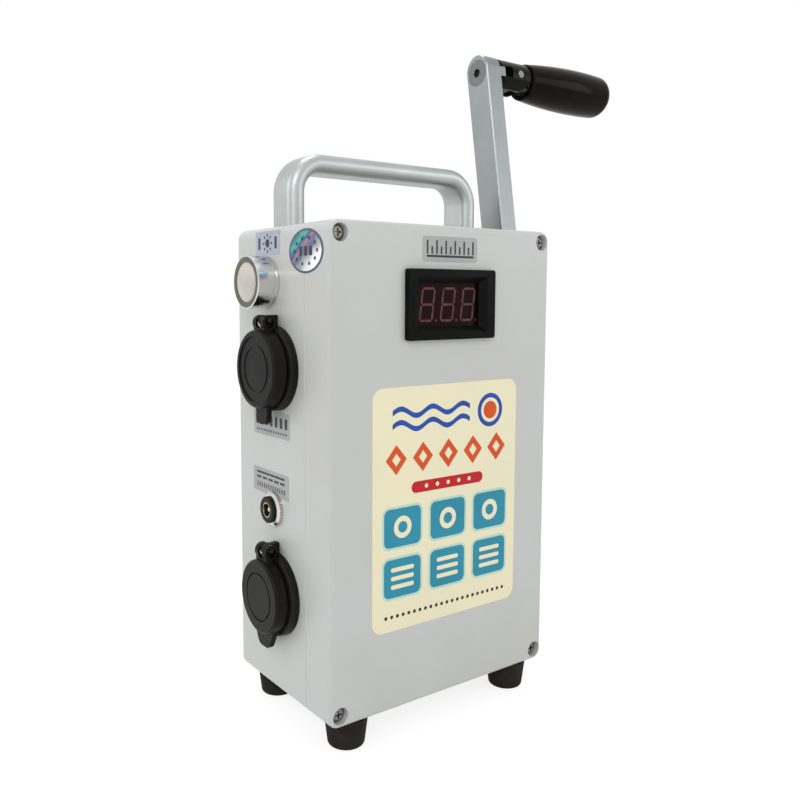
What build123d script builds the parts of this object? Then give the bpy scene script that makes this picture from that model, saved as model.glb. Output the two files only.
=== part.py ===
from build123d import *
import os
from math import acos, cos, pi, radians, sin, tan

# A hand crank generator in a plastic case, in millimetres.
# X runs to the right, Y to the back and Z up. The origin is under the middle of the case,
# on the plane that the four rubber feet stand on.

# Case
CASE_W = 120.0
CASE_D = 75.0
CASE_H = 200.0
WALL = 3.0
COVER_DEPTH = 18.0
CORNER_R = 4.5
INNER_CORNER_R = 0.8
EDGE_R = 2.2
RIM_OUTER = 1.6
LIP_LENGTH = 1.8
LIP_GAP = 0.1
SEAM_CHAMFER = 0.3
REBATE_DEPTH = 3.0
SEAL_GAP = 0.05

# Cover screws and the columns that they turn into
SCREW_INSET = 5.0
COLUMN_R = 4.5
COLUMN_LENGTH = 20.0
COVER_SCREW_R = 1.7
COVER_SCREW_LENGTH = 28.0
COVER_HEAD_R = 3.0
COVER_HEAD_H = 2.3
COVER_RECESS_R = 3.5
COVER_RECESS_DEPTH = 4.2
COVER_RECESS_EDGE = 0.3
THREAD_FIT = 0.02
SCREW_CLEARANCE = 0.2
TIP_ROOM = 1.0

# Every pan head, in shares of its own height and radius
HEAD_CROWN = 0.55
CROSS_SPAN = 1.05
CROSS_WIDE = 0.26

# Feet
FOOT_H = 12.5
FOOT_TOP_R = 9.2
FOOT_TREAD_R = 7.6
FOOT_EDGE_R = 1.6
FOOT_INSET_X = 14.0
FOOT_INSET_Y = 9.6
FOOT_BORE_R = 4.3
FOOT_SEAT_UP = 6.0
FOOT_SCREW_R = 2.0
FOOT_SCREW_LENGTH = 15.0
FOOT_HEAD_R = 3.8
FOOT_HEAD_H = 2.6
FOOT_BOSS_R = 4.2
FOOT_BOSS_H = 8.0

# Carry handle
HANDLE_INSET = 11.3
HANDLE_BACK = 48.5
HANDLE_H = 31.3
HANDLE_WIDE = 17.8
HANDLE_THICK = 8.0
HANDLE_BEND_R = 12.5
HANDLE_SCREW_R = 2.5
HANDLE_SCREW_LENGTH = 16.0
HANDLE_HEAD_R = 4.3
HANDLE_HEAD_H = 3.0
HANDLE_WASHER_R = 5.0
HANDLE_WASHER_T = 1.0

# LED lamp on the left wall
LAMP_BACK = 47.7
LAMP_UP = 176.7
LAMP_R = 10.9
LAMP_OUT = 10.2
LAMP_CHAMFER = 0.4
LAMP_GROOVE_OUT = 1.2
LAMP_GROOVE = 0.3
LAMP_RIM = 0.3
LAMP_FLOOR = 3.0
LAMP_NECK_R = 8.0
LAMP_NECK_LENGTH = 11.0
LAMP_WIRE_R = 3.0
LENS_R = 8.2
LENS_FIT = 0.1
LENS_RIM_T = 2.4
LENS_DOME = 1.5
LENS_SEAT_WALL = 1.2
LED_BOARD_T = 1.6
LED_CHIP = 4.0
LED_CHIP_T = 0.5
LAMP_NUT_AF = 20.0
LAMP_NUT_T = 4.0

# Both sockets on the left wall share one flange, barrel and cap hinge
SOCKET_BACK = 40.5
FLANGE_R = 17.8
FLANGE_T = 3.5
FLANGE_EDGE_R = 1.2
BARREL_R = 14.0
BARREL_FIT = 0.1
SOCKET_NUT_R = 17.4
SOCKET_NUT_T = 6.0
HINGE_UP = 20.0
HINGE_OUT = 5.4
HINGE_PIN_R = 0.9
HINGE_PIN_PAST = 0.4
HINGE_PIN_EDGE = 0.2
HINGE_LUG_HALF = 1.5
HINGE_LUG_R = 2.2
LOOP_R = 3.3
LOOP_HOLE_R = 2.1
LOOP_DROP = 1.0
LOOP_WIDE = 2.5
LOOP_GAP = 0.35
LOOP_ARM_IN = 0.2
LOOP_ARM_OUT = 2.7
YOKE_ROOT = 3.0
YOKE_PAST = 0.8
CAP_BACK_OUT = 4.6
CAP_SEAT_GAP = 0.3
CAP_SEAT_R = 13.4
CAP_SEAT_WALL = 1.4
CAP_EDGE_R = 1.2
SPIGOT_FIT = 0.6

# USB socket
USB_UP = 141.0
USB_LENGTH = 40.0
USB_MOUTH_R = 11.6
USB_FACE_OUT = 1.0
USB_CAP_R = 16.2
USB_CAP_OUT = 10.5
USB_CAP_DISH_R = 13.6
USB_CAP_DISH = 0.5
USB_CAP_RING_R = 10.0
USB_CAP_RING = 0.3
USB_CAP_RING_WIDE = 0.8
USB_SPIGOT_OUT = 1.6
USB_TAB_LENGTH = 23.0
USB_TAB_ROOT_WIDE = 10.6
USB_TAB_SET_BACK = 0.8
USB_PORT_WIDE = 13.2
USB_PORT_HIGH = 5.7
USB_PORT_DEEP = 14.0
USB_PORT_PITCH = 9.0
USB_PORT_WALL = 0.4
USB_PORT_BACK_T = 1.5
USB_TONGUE_WIDE = 11.0
USB_TONGUE_HIGH = 1.9
USB_TONGUE_SET_BACK = 2.0
USB_PORT_FIT = 0.02

# Round 12 V socket
POWER_UP = 44.6
POWER_LENGTH = 52.0
POWER_BORE_R = 10.5
POWER_MOUTH_R = 10.9
POWER_WELL_R = 9.5
LINER_T = 0.7
LINER_FRONT_OUT = 0.9
LINER_LENGTH = 34.0
LINER_FIT = 0.05
BUTTON_R = 3.5
BUTTON_H = 2.2
BUTTON_GAP = 0.4
POWER_BLADE_WIDE = 6.3
POWER_BLADE_T = 0.8
POWER_BLADE_LENGTH = 8.0
POWER_BLADE_Y = 5.0
POWER_CAP_R = 15.6
POWER_CAP_OUT = 9.7
POWER_CAP_GROOVE_R = 9.6
POWER_CAP_GROOVE = 0.7
POWER_SPIGOT_OUT = 1.4
POWER_TAB_LENGTH = 22.0
POWER_TAB_ROOT_WIDE = 19.0
POWER_TAB_SET_BACK = 0.2
TAB_TIP_WIDE = 8.0
TAB_ROOT_UP = -11.0
TAB_T = 2.4

# DC jack
JACK_BACK = 43.0
JACK_UP = 80.6
JACK_R = 5.7
JACK_OUT = 4.0
JACK_FIT = 0.1
JACK_EDGE = 0.4
JACK_BORE_R = 3.25
JACK_SLEEVE_T = 0.4
JACK_SLEEVE_SET_BACK = 0.1
JACK_BORE_DEEP = 9.5
JACK_PIN_R = 1.05
JACK_PIN_ROUND = 0.6
JACK_PIN_SET_BACK = 1.0
JACK_BODY_R = 7.2
JACK_BODY_LENGTH = 12.0
JACK_NUT_R = 7.4
JACK_NUT_T = 2.5
JACK_NUT_EDGE = 1.0
JACK_NUT_GROOVES = 28
JACK_NUT_GROOVE = 0.3

# Volt meter in the front cover
METER_UP = 167.5
METER_W = 48.0
METER_H = 29.0
METER_PROUD = 2.5
METER_BODY_W = 45.0
METER_BODY_H = 26.0
METER_BODY_DEEP = 19.0
METER_FIT = 0.15
METER_CORNER_R = 1.2
METER_EDGE_R = 0.4
METER_WINDOW_W = 33.0
METER_WINDOW_H = 18.0
METER_BEVEL = 2.7
METER_WALL = 1.4
METER_INNER_GAP = 0.1
METER_WINDOW_T = 1.0
METER_DISPLAY_T = 6.0
METER_BOARD_T = 1.6
DIGIT_BLOCK_W = 37.8
DIGIT_BLOCK_H = 19.0

# Crank
CRANK_BACK = 37.5
CRANK_UP = 150.0
CRANK_RADIUS = 135.8
ARM_LEAN = 8.8
ARM_WIDE = 15.0
ARM_THICK = 10.0
ARM_GAP = 8.8
ARM_BEYOND = 9.0
ARM_EDGE = 0.5
SHAFT_R = 5.0
SHAFT_SQUARE = 8.0
SQUARE_FIT = 0.05
SHAFT_SHOULDER_R = 7.0
SHAFT_SHOULDER_T = 4.2
SHAFT_SHORT_OF_ARM = 0.4
HUB_SCREW_R = 2.5
HUB_SCREW_LENGTH = 14.0
HUB_HEAD_R = 4.8
HUB_HEAD_H = 2.8
HUB_WASHER_R = 8.0
HUB_WASHER_T = 1.5
COLLAR_R = 12.0
COLLAR_T = 3.6
COLLAR_NECK_R = 8.0
COLLAR_EDGE_R = 1.2
RUN_FIT = 0.05
SEAT_FIT = 0.02

# Fold-away grip
FORK_R = 8.6
FORK_LENGTH = 21.0
FORK_EDGE_R = 0.8
FOLD_PIN_OUT = 13.5
FOLD_PIN_R = 2.0
TONGUE_T = 6.0
TONGUE_H = 9.0
TONGUE_FIT = 0.15
TONGUE_ROOM = 0.35
TENON_HIGH = 5.2
TENON_OUT = 3.0
TENON_CORE_R = 5.0
TENON_FIT = 0.1
WINDOW_OUT = 7.6
GRIP_SCREW_R = 3.0
GRIP_SCREW_LENGTH = 17.6
GRIP_SCREW_ROOM = 0.2
GRIP_HEAD_R = 6.2
GRIP_HEX_AF = 4.0
GRIP_HEX_DEEP = 2.4
SPINDLE_R = 4.0
SPINDLE_SHORT = 9.0
SHOULDER_R = 7.0
SHOULDER_T = 0.8
SLEEVE_GAP = 0.3
SLEEVE_LENGTH = 63.0
SLEEVE_NECK_R = 9.2
SLEEVE_BELLY_R = 11.7
SLEEVE_END_R = 11.0
SLEEVE_ROUND = 6.5
SLEEVE_NECK_ROUND = 0.8
SLEEVE_END_WALL = 6.0
CLIP_R = 5.2
CLIP_T = 0.8
CLIP_POCKET_R = 6.2
CLIP_POCKET_DEEP = 3.0
CLIP_SHORT = 1.5
CLIP_GROOVE = 0.6
CLIP_MOUTH = 3.2

# Gear train
PRESSURE_DEG = 20.0
GEAR_TEETH = 60
PINION_TEETH = 12
TOOTH_SHIFT = 0.3
BACKLASH = 0.12
DRIVE_MODULE = 1.0
SECOND_MODULE = 0.8
DRIVE_GEAR_WIDE = 8.0
SECOND_GEAR_WIDE = 5.7
PINION_EXTRA = 0.5
WEB_DEEP = 2.0
WEB_INNER_R = 12.0
WEB_RIM = 4.5
HUB_R = 9.0
HUB_LENGTH = 6.0
OUTER_HUB_LENGTH = 3.0
GEAR_PIN_R = 1.5
SECOND_SHAFT_R = 3.0
SECOND_HUB_R = 4.7
BEAR_GAP = 0.2

# Gearbox frame
PLATE_T = 3.0
PLATE_GAP = 26.0
PLATE_HALF_W = 19.0
PLATE_TOP_UP = 188.5
PLATE_BOTTOM_UP = 63.5
PLATE_CORNER_R = 4.0
POST_Y = 14.0
POST_TOP_UP = 183.5
POST_BOTTOM_UP = 68.5
POST_R = 4.0
BOX_SCREW_R = 2.0
BOX_HEAD_R = 4.0
BOX_HEAD_H = 2.6
BUSH_FLANGE_T = 1.0
BUSH_WALL = 2.0
BUSH_FLANGE_EXTRA = 1.5

# Generator
MOTOR_R = 21.0
MOTOR_LENGTH = 50.0
MOTOR_WALL = 1.6
MOTOR_FACE_T = 3.2
MOTOR_EDGE_R = 1.0
MOTOR_BOSS_R = 6.5
MOTOR_BOSS_T = 2.6
MOTOR_SHAFT_R = 2.5
MOTOR_SHAFT_INSET = 3.0
MOTOR_SHAFT_ROOM = 0.3
MOTOR_SCREW_PCR = 14.0
MOTOR_SCREW_TURNS = (-90, 0, 90)
MOTOR_SCREW_R = 1.5
MOTOR_SCREW_LENGTH = 6.0
MOTOR_HEAD_R = 2.8
MOTOR_HEAD_H = 1.8
MAGNET_T = 3.6
MAGNET_LENGTH = 34.0
MAGNET_ARC = 130.0
ROTOR_GAP = 0.5
ROTOR_LENGTH = 30.0
ROTOR_SLOTS = 5
ROTOR_SLOT_WIDE = 3.0
ROTOR_SLOT_DEEP = 6.0
ROTOR_FORWARD = 2.5
WINDING_HEAD = 3.0
WINDING_OUT = 2.0
COMMUTATOR_R = 6.0
COMMUTATOR_LENGTH = 7.0
END_CAP_T = 7.0
END_CAP_R = 20.2
END_CAP_EDGE_R = 2.0
END_CAP_LIP = 2.0

# Regulator board on the back wall
BOARD_W = 60.0
BOARD_H = 42.0
BOARD_T = 1.6
BOARD_X = 18.0
BOARD_UP = 35.0
STANDOFF_R = 3.5
STANDOFF_H = 6.0
BOARD_HOLE_INSET = 4.0
BOARD_SCREW_R = 1.4
BOARD_SCREW_LENGTH = 6.0
BOARD_HEAD_R = 2.6
BOARD_HEAD_H = 1.6
CAN_R = 5.0
CAN_H = 12.0
CAN_PITCH = 12.0
CAN_EDGE_R = 0.8
COIL_R = 8.5
COIL_HOLE_R = 3.5
COIL_H = 7.0
HEATSINK_W = 16.0
HEATSINK_H = 14.0
HEATSINK_T = 10.0
HEATSINK_BASE_T = 2.0
HEATSINK_SLOT_WIDE = 2.4
HEATSINK_SLOT_PITCH = 4.5

# Places that follow from the sizes above
FRONT_Y = -CASE_D / 2
BACK_Y = CASE_D / 2
SEAM_Y = FRONT_Y + COVER_DEPTH
LEFT_X = -CASE_W / 2
RIGHT_X = CASE_W / 2
BOTTOM_Z = FOOT_H
TOP_Z = BOTTOM_Z + CASE_H
MID_Z = BOTTOM_Z + CASE_H / 2
FOOT_X = CASE_W / 2 - FOOT_INSET_X
FOOT_Y = CASE_D / 2 - FOOT_INSET_Y
HANDLE_X = CASE_W / 2 - HANDLE_INSET
HANDLE_Y = FRONT_Y + HANDLE_BACK
SOCKET_Y = FRONT_Y + SOCKET_BACK
USB_Z = BOTTOM_Z + USB_UP
POWER_Z = BOTTOM_Z + POWER_UP
HINGE_PIN_HALF = HINGE_LUG_HALF + LOOP_GAP + LOOP_WIDE + HINGE_PIN_PAST
METER_Z = BOTTOM_Z + METER_UP
METER_LIP_BACK = METER_BEVEL - METER_PROUD + METER_WALL
METER_ROOM_W = METER_BODY_W - 2 * METER_WALL
METER_ROOM_H = METER_BODY_H - 2 * METER_WALL
CRANK_Y = FRONT_Y + CRANK_BACK
CRANK_Z = BOTTOM_Z + CRANK_UP
SECOND_Z = CRANK_Z - DRIVE_MODULE * (GEAR_TEETH + PINION_TEETH) / 2
MOTOR_Z = SECOND_Z - SECOND_MODULE * (GEAR_TEETH + PINION_TEETH) / 2
ARM_X = RIGHT_X + ARM_GAP
ARM_FACE_X = ARM_X + ARM_THICK
FOLD_X = ARM_FACE_X + FOLD_PIN_OUT
FORK_END_X = ARM_FACE_X + FORK_LENGTH
FOLD_REACH = FORK_LENGTH - FOLD_PIN_OUT
SHOULDER_X = FORK_END_X + BEAR_GAP
SLEEVE_X = SHOULDER_X + SHOULDER_T + SLEEVE_GAP
SPINDLE_LENGTH = SLEEVE_LENGTH - SPINDLE_SHORT
CLIP_X = SLEEVE_X + SPINDLE_LENGTH - CLIP_SHORT
OUTER_PLATE_X = RIGHT_X - WALL - PLATE_T
INNER_PLATE_X = OUTER_PLATE_X - PLATE_GAP - PLATE_T
GEAR_ROOM_X0 = INNER_PLATE_X + PLATE_T + BUSH_FLANGE_T
GEAR_ROOM_X1 = OUTER_PLATE_X - BUSH_FLANGE_T
DRIVE_GEAR_X = GEAR_ROOM_X1 - BEAR_GAP - OUTER_HUB_LENGTH - DRIVE_GEAR_WIDE
SECOND_GEAR_X = GEAR_ROOM_X0 + BEAR_GAP
POST_ZS = (BOTTOM_Z + POST_BOTTOM_UP, BOTTOM_Z + POST_TOP_UP)
BOARD_Y = BACK_Y - WALL - STANDOFF_H
BOARD_Z = BOTTOM_Z + BOARD_UP

# Turns a piece made along +Z to point out of each wall
ON_LEFT = Rot(0, -90, 0)
ON_RIGHT = Rot(0, 90, 0)
ON_FRONT = Rot(90, 0, 0)
ON_BACK = Rot(-90, 0, 0)
ON_BOTTOM = Rot(180, 0, 0)

# The crank's own frame: its axis is X, and the arm points along +Z before it leans back
CRANK = Pos(0, CRANK_Y, CRANK_Z) * Rot(-ARM_LEAN, 0, 0)


def group(*solids):
    """Separate solids that share one node."""
    return Compound(children=list(solids))


def span_box(x0, x1, y0, y1, z0, z1):
    """A block between two corners."""
    return Pos((x0 + x1) / 2, (y0 + y1) / 2, (z0 + z1) / 2) * Box(x1 - x0, y1 - y0, z1 - z0)


def rod(radius, z0, z1):
    """A round bar along Z between two heights."""
    return Pos(0, 0, (z0 + z1) / 2) * Cylinder(radius, z1 - z0)


def tube(outer_r, inner_r, z0, z1):
    """A round tube along Z between two heights."""
    return rod(outer_r, z0, z1) - rod(inner_r, z0, z1)


def rod_x(radius, x0, x1, y, z):
    """A round bar along X."""
    return Pos(0, y, z) * Rot(0, 90, 0) * rod(radius, x0, x1)


def turned(*points):
    """A turned piece about Z, from the (radius, height) corners of its half section."""
    return revolve(Plane.XZ * make_face(Polyline(*points, close=True)), Axis.Z)


def hexagon(across_flats, z0, z1):
    """A hexagonal prism along Z with a corner on Y."""
    outline = RegularPolygon(across_flats / 2, 6, major_radius=False, rotation=30)
    return Pos(0, 0, z0) * extrude(outline, z1 - z0)


def pan_screw(shank_r, length, head_r, head_h):
    """A pan-head screw with a cross recess: the head stands on zero, the shank points down."""
    head = rod(head_r, 0, head_h)
    head = fillet(head.edges().sort_by(Axis.Z)[-1], head_h * HEAD_CROWN)
    slot = Box(head_r * CROSS_SPAN, head_r * CROSS_WIDE, head_h)
    for turn in (0, 90):
        head -= Rot(0, 0, turn) * Pos(0, 0, head_h) * slot
    return head + rod(shank_r, -length, 0)


# Case --------------------------------------------------------------------------------------

def case_block(front_y, back_y, inset):
    """A block with the case's rounded outline, seen from the front, between two depths."""
    radius = max(CORNER_R - inset, INNER_CORNER_R)
    outline = RectangleRounded(CASE_W - 2 * inset, CASE_H - 2 * inset, radius)
    return Pos(0, 0, MID_Z) * extrude(Plane.XZ.offset(-back_y) * outline, back_y - front_y)


def corner_places(y):
    """The four places of the cover screws, at one depth."""
    across = CASE_W / 2 - SCREW_INSET
    up = CASE_H / 2 - SCREW_INSET
    return [Pos(x, y, MID_Z + z) for x in (-across, across) for z in (-up, up)]


def foot_places(z, sides):
    """The places of the feet at one height; sides are -1 for the front pair, 1 for the back."""
    return [Pos(x, side * FOOT_Y, z) for side in sides for x in (-FOOT_X, FOOT_X)]


def board_places(y):
    """The four fixing points of the regulator board, at one depth."""
    across = BOARD_W / 2 - BOARD_HOLE_INSET
    up = BOARD_H / 2 - BOARD_HOLE_INSET
    return [Pos(BOARD_X + x, y, BOARD_Z + z) for x in (-across, across) for z in (-up, up)]


def post_places(x):
    """The four posts of the gearbox, which its fixing screws run through."""
    return [Pos(x, CRANK_Y + y, z) * ON_RIGHT for y in (-POST_Y, POST_Y) for z in POST_ZS]


def foot_boss(place):
    """The boss on the case's floor that a foot screw turns into."""
    return place * rod(FOOT_BOSS_R, 0, WALL + FOOT_BOSS_H)


def foot_screw_hole(place):
    """The blind hole up through the floor and its boss."""
    depth = FOOT_SCREW_LENGTH - (FOOT_H - FOOT_SEAT_UP) + TIP_ROOM
    return place * rod(FOOT_SCREW_R + THREAD_FIT, -1, depth)


def cover_recess():
    """The space a cover screw's head sinks in, with a chamfered mouth at zero."""
    mouth_r = COVER_RECESS_R + COVER_RECESS_EDGE + 1
    side = ((mouth_r, -1), (COVER_RECESS_R, COVER_RECESS_EDGE), (COVER_RECESS_R, COVER_RECESS_DEPTH))
    return turned((0, -1), *side, (0, COVER_RECESS_DEPTH))


def left_wall_holes():
    """The holes for the lamp, both sockets and the DC jack."""
    deep = WALL + 1
    lamp = Pos(LEFT_X, FRONT_Y + LAMP_BACK, BOTTOM_Z + LAMP_UP)
    jack = Pos(LEFT_X, FRONT_Y + JACK_BACK, BOTTOM_Z + JACK_UP)
    holes = [lamp * ON_LEFT * rod(LAMP_NECK_R + BARREL_FIT, -deep, 1)]
    holes.append(jack * ON_LEFT * rod(JACK_R + JACK_FIT, -deep, 1))
    for z in (USB_Z, POWER_Z):
        holes.append(Pos(LEFT_X, SOCKET_Y, z) * ON_LEFT * rod(BARREL_R + BARREL_FIT, -deep, 1))
    return holes


def right_wall_holes():
    """The holes for the shaft collar and the four gearbox screws."""
    deep = WALL + 1
    collar = Pos(RIGHT_X, CRANK_Y, CRANK_Z) * ON_RIGHT
    holes = [collar * rod(COLLAR_NECK_R + SEAT_FIT, -deep, 1)]
    for place in post_places(RIGHT_X):
        holes.append(place * rod(BOX_SCREW_R + SCREW_CLEARANCE, -deep, 1))
    return holes


def rear_case():
    """The deep shell, with screw columns, floor bosses and standoffs moulded in."""
    shell = case_block(SEAM_Y, BACK_Y, 0)
    shell = fillet(shell.faces().sort_by(Axis.Y)[-1].edges(), EDGE_R)
    shell = chamfer(shell.faces().sort_by(Axis.Y)[0].edges(), SEAM_CHAMFER)
    shell -= case_block(SEAM_Y - 1, BACK_Y - WALL, WALL)
    for place in corner_places(SEAM_Y):
        shell += place * ON_BACK * rod(COLUMN_R, 0, COLUMN_LENGTH)
    for place in foot_places(BOTTOM_Z, (1,)):
        shell += foot_boss(place)
    for place in board_places(BOARD_Y):
        shell += place * ON_BACK * rod(STANDOFF_R, 0, STANDOFF_H + WALL / 2)
    rebate = case_block(SEAM_Y - 1, SEAM_Y + REBATE_DEPTH, RIM_OUTER)
    shell -= rebate - case_block(SEAM_Y - 1, SEAM_Y + REBATE_DEPTH, WALL)
    pilot = COVER_SCREW_LENGTH - COVER_DEPTH + COVER_RECESS_DEPTH + TIP_ROOM
    for place in corner_places(SEAM_Y):
        shell -= place * ON_BACK * rod(COVER_SCREW_R + THREAD_FIT, -1, pilot)
    for place in foot_places(BOTTOM_Z, (1,)):
        shell -= foot_screw_hole(place)
    for place in board_places(BOARD_Y):
        shell -= place * ON_BACK * rod(BOARD_SCREW_R + THREAD_FIT, -1, STANDOFF_H - 0.5)
    for x in (-HANDLE_X, HANDLE_X):
        hole = rod(HANDLE_SCREW_R + SCREW_CLEARANCE, -WALL - 1, 1)
        shell -= Pos(x, HANDLE_Y, TOP_Z) * hole
    for hole in left_wall_holes() + right_wall_holes():
        shell -= hole
    return shell


def front_cover():
    """The shallow front shell with its locating lip, screw recesses and meter window."""
    shell = case_block(FRONT_Y, SEAM_Y, 0)
    shell = fillet(shell.faces().sort_by(Axis.Y)[0].edges(), EDGE_R)
    shell = chamfer(shell.faces().sort_by(Axis.Y)[-1].edges(), SEAM_CHAMFER)
    shell -= case_block(FRONT_Y + WALL, SEAM_Y + 1, WALL)
    lip = case_block(SEAM_Y - 1, SEAM_Y + LIP_LENGTH, RIM_OUTER + LIP_GAP)
    shell += lip - case_block(SEAM_Y - 2, SEAM_Y + LIP_LENGTH + 1, WALL)
    for place in corner_places(FRONT_Y + WALL):
        shell += place * ON_BACK * rod(COLUMN_R, -WALL / 2, COVER_DEPTH - WALL)
    for place in foot_places(BOTTOM_Z, (-1,)):
        shell += foot_boss(place)
    for place in corner_places(FRONT_Y):
        shell -= place * ON_BACK * rod(COVER_SCREW_R + SCREW_CLEARANCE, -1, COVER_DEPTH + 4)
        shell -= place * ON_BACK * cover_recess()
    for place in foot_places(BOTTOM_Z, (-1,)):
        shell -= foot_screw_hole(place)
    wide = METER_BODY_W / 2 + METER_FIT
    high = METER_BODY_H / 2 + METER_FIT
    shell -= span_box(-wide, wide, FRONT_Y - 1, FRONT_Y + WALL + 1, METER_Z - high, METER_Z + high)
    return shell


def cover_seal():
    """The rubber ring pressed between the cover's lip and the rear case."""
    front = SEAM_Y + LIP_LENGTH
    ring = case_block(front, SEAM_Y + REBATE_DEPTH, RIM_OUTER + SEAL_GAP)
    return ring - case_block(front - 1, SEAM_Y + REBATE_DEPTH + 1, WALL - SEAL_GAP)


def cover_screws():
    """The four pan-head screws sunk in the cover's corners."""
    screw = pan_screw(COVER_SCREW_R, COVER_SCREW_LENGTH, COVER_HEAD_R, COVER_HEAD_H)
    seat_y = FRONT_Y + COVER_RECESS_DEPTH
    return group(*[place * ON_FRONT * screw for place in corner_places(seat_y)])


# Feet --------------------------------------------------------------------------------------

def rubber_feet():
    """Four tapered rubber feet with a deep screw recess in the tread."""
    corners = ((FOOT_BORE_R, 0), (FOOT_TREAD_R, 0), (FOOT_TOP_R, FOOT_H))
    screw_r = FOOT_SCREW_R + SCREW_CLEARANCE
    inner = ((screw_r, FOOT_H), (screw_r, FOOT_SEAT_UP), (FOOT_BORE_R, FOOT_SEAT_UP))
    foot = turned(*corners, *inner)
    tread = foot.edges().filter_by(GeomType.CIRCLE).group_by(Axis.Z)[0].sort_by(Edge.length)[-1]
    foot = fillet(tread, FOOT_EDGE_R)
    return group(*[place * foot for place in foot_places(0, (-1, 1))])


def foot_screws():
    """One pan-head screw up through each foot into the floor's boss."""
    screw = pan_screw(FOOT_SCREW_R, FOOT_SCREW_LENGTH, FOOT_HEAD_R, FOOT_HEAD_H)
    places = foot_places(FOOT_SEAT_UP, (-1, 1))
    return group(*[place * ON_BOTTOM * screw for place in places])


# Carry handle ------------------------------------------------------------------------------

def carry_handle():
    """A bent aluminium bar of flat-oval section, tapped at both feet."""
    side = HANDLE_X
    top = TOP_Z + HANDLE_H - HANDLE_THICK / 2
    corners = ((-side, TOP_Z), (-side, top), (side, top), (side, TOP_Z))
    path = FilletPolyline(*[(x, HANDLE_Y, z) for x, z in corners], radius=HANDLE_BEND_R)
    foot = Plane(origin=(-side, HANDLE_Y, TOP_Z), x_dir=(0, 1, 0), z_dir=(0, 0, 1))
    handle = sweep(foot * SlotOverall(HANDLE_WIDE, HANDLE_THICK), path)
    tapped = HANDLE_SCREW_LENGTH - WALL - HANDLE_WASHER_T + TIP_ROOM
    for x in (-side, side):
        handle -= Pos(x, HANDLE_Y, TOP_Z) * rod(HANDLE_SCREW_R + THREAD_FIT, -1, tapped)
    return handle


def handle_washers():
    """The washers under the heads of the handle screws, inside the roof."""
    hole_r = HANDLE_SCREW_R + SCREW_CLEARANCE
    washer = tube(HANDLE_WASHER_R, hole_r, -HANDLE_WASHER_T, 0)
    return group(*[Pos(x, HANDLE_Y, TOP_Z - WALL) * washer for x in (-HANDLE_X, HANDLE_X)])


def handle_screws():
    """The two screws that hold the handle from inside the case."""
    screw = pan_screw(HANDLE_SCREW_R, HANDLE_SCREW_LENGTH, HANDLE_HEAD_R, HANDLE_HEAD_H)
    z = TOP_Z - WALL - HANDLE_WASHER_T
    return group(*[Pos(x, HANDLE_Y, z) * ON_BOTTOM * screw for x in (-HANDLE_X, HANDLE_X)])


# LED lamp ----------------------------------------------------------------------------------

def lamp_place():
    """The lamp's place on the left wall."""
    return Pos(LEFT_X, FRONT_Y + LAMP_BACK, BOTTOM_Z + LAMP_UP) * ON_LEFT


def lamp_housing():
    """The turned aluminium barrel with its flat rim and threaded neck."""
    seat_r = LENS_R + LENS_FIT
    rim_out = LAMP_OUT - LAMP_RIM
    outside = (
        (LAMP_NECK_R, -LAMP_NECK_LENGTH),
        (LAMP_NECK_R, 0),
        (LAMP_R, 0),
        (LAMP_R, LAMP_OUT - LAMP_CHAMFER),
        (LAMP_R - LAMP_CHAMFER, LAMP_OUT),
    )
    inside = (
        (seat_r + LAMP_RIM, LAMP_OUT),
        (seat_r, rim_out),
        (seat_r, LAMP_FLOOR),
        (LAMP_WIRE_R, LAMP_FLOOR),
        (LAMP_WIRE_R, -LAMP_NECK_LENGTH),
    )
    body = turned(*outside, *inside)
    groove_out = LAMP_GROOVE_OUT + LAMP_GROOVE
    body -= tube(LAMP_R + 1, LAMP_R - LAMP_GROOVE, LAMP_GROOVE_OUT, groove_out)
    return lamp_place() * body


def lamp_led_board():
    """The round board behind the lens with its light-emitting chip."""
    board_top = LAMP_FLOOR + LED_BOARD_T
    board = rod(LENS_R, LAMP_FLOOR, board_top)
    chip = Pos(0, 0, board_top + LED_CHIP_T / 2) * Box(LED_CHIP, LED_CHIP, LED_CHIP_T)
    return lamp_place() * (board + chip)


def lamp_lens():
    """The frosted lens: a flat disc with a domed front, seated in the rim."""
    rim_out = LAMP_OUT - LAMP_RIM
    back = rim_out - LENS_RIM_T
    dome_r = (LENS_R**2 + LENS_DOME**2) / (2 * LENS_DOME)
    dome = Pos(0, 0, rim_out + LENS_DOME - dome_r) * Sphere(dome_r)
    lens = rod(LENS_R, back, rim_out + LENS_DOME) & dome
    seat = tube(LENS_R, LENS_R - LENS_SEAT_WALL, LAMP_FLOOR + LED_BOARD_T, back)
    return lamp_place() * (lens + seat)


def lamp_nut():
    """The hexagonal nut that clamps the lamp from inside."""
    nut = hexagon(LAMP_NUT_AF, -WALL - LAMP_NUT_T, -WALL)
    return lamp_place() * (nut - rod(LAMP_NECK_R + THREAD_FIT, -WALL - LAMP_NUT_T, -WALL))


# Capped sockets ----------------------------------------------------------------------------
# Each is made about Z: X is up the wall, Y to the back and Z out of the wall.

def socket_place(z):
    """A socket's place on the left wall."""
    return Pos(LEFT_X, SOCKET_Y, z) * ON_LEFT


def hinge_bar(radius, y0, y1):
    """A round bar along the cap's hinge axis."""
    return Pos(HINGE_UP, (y0 + y1) / 2, HINGE_OUT) * Rot(90, 0, 0) * Cylinder(radius, y1 - y0)


def loop_spans():
    """The two stretches of the hinge axis that the cap's loops take."""
    near = HINGE_LUG_HALF + LOOP_GAP
    return ((-near - LOOP_WIDE, -near), (near, near + LOOP_WIDE))


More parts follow.
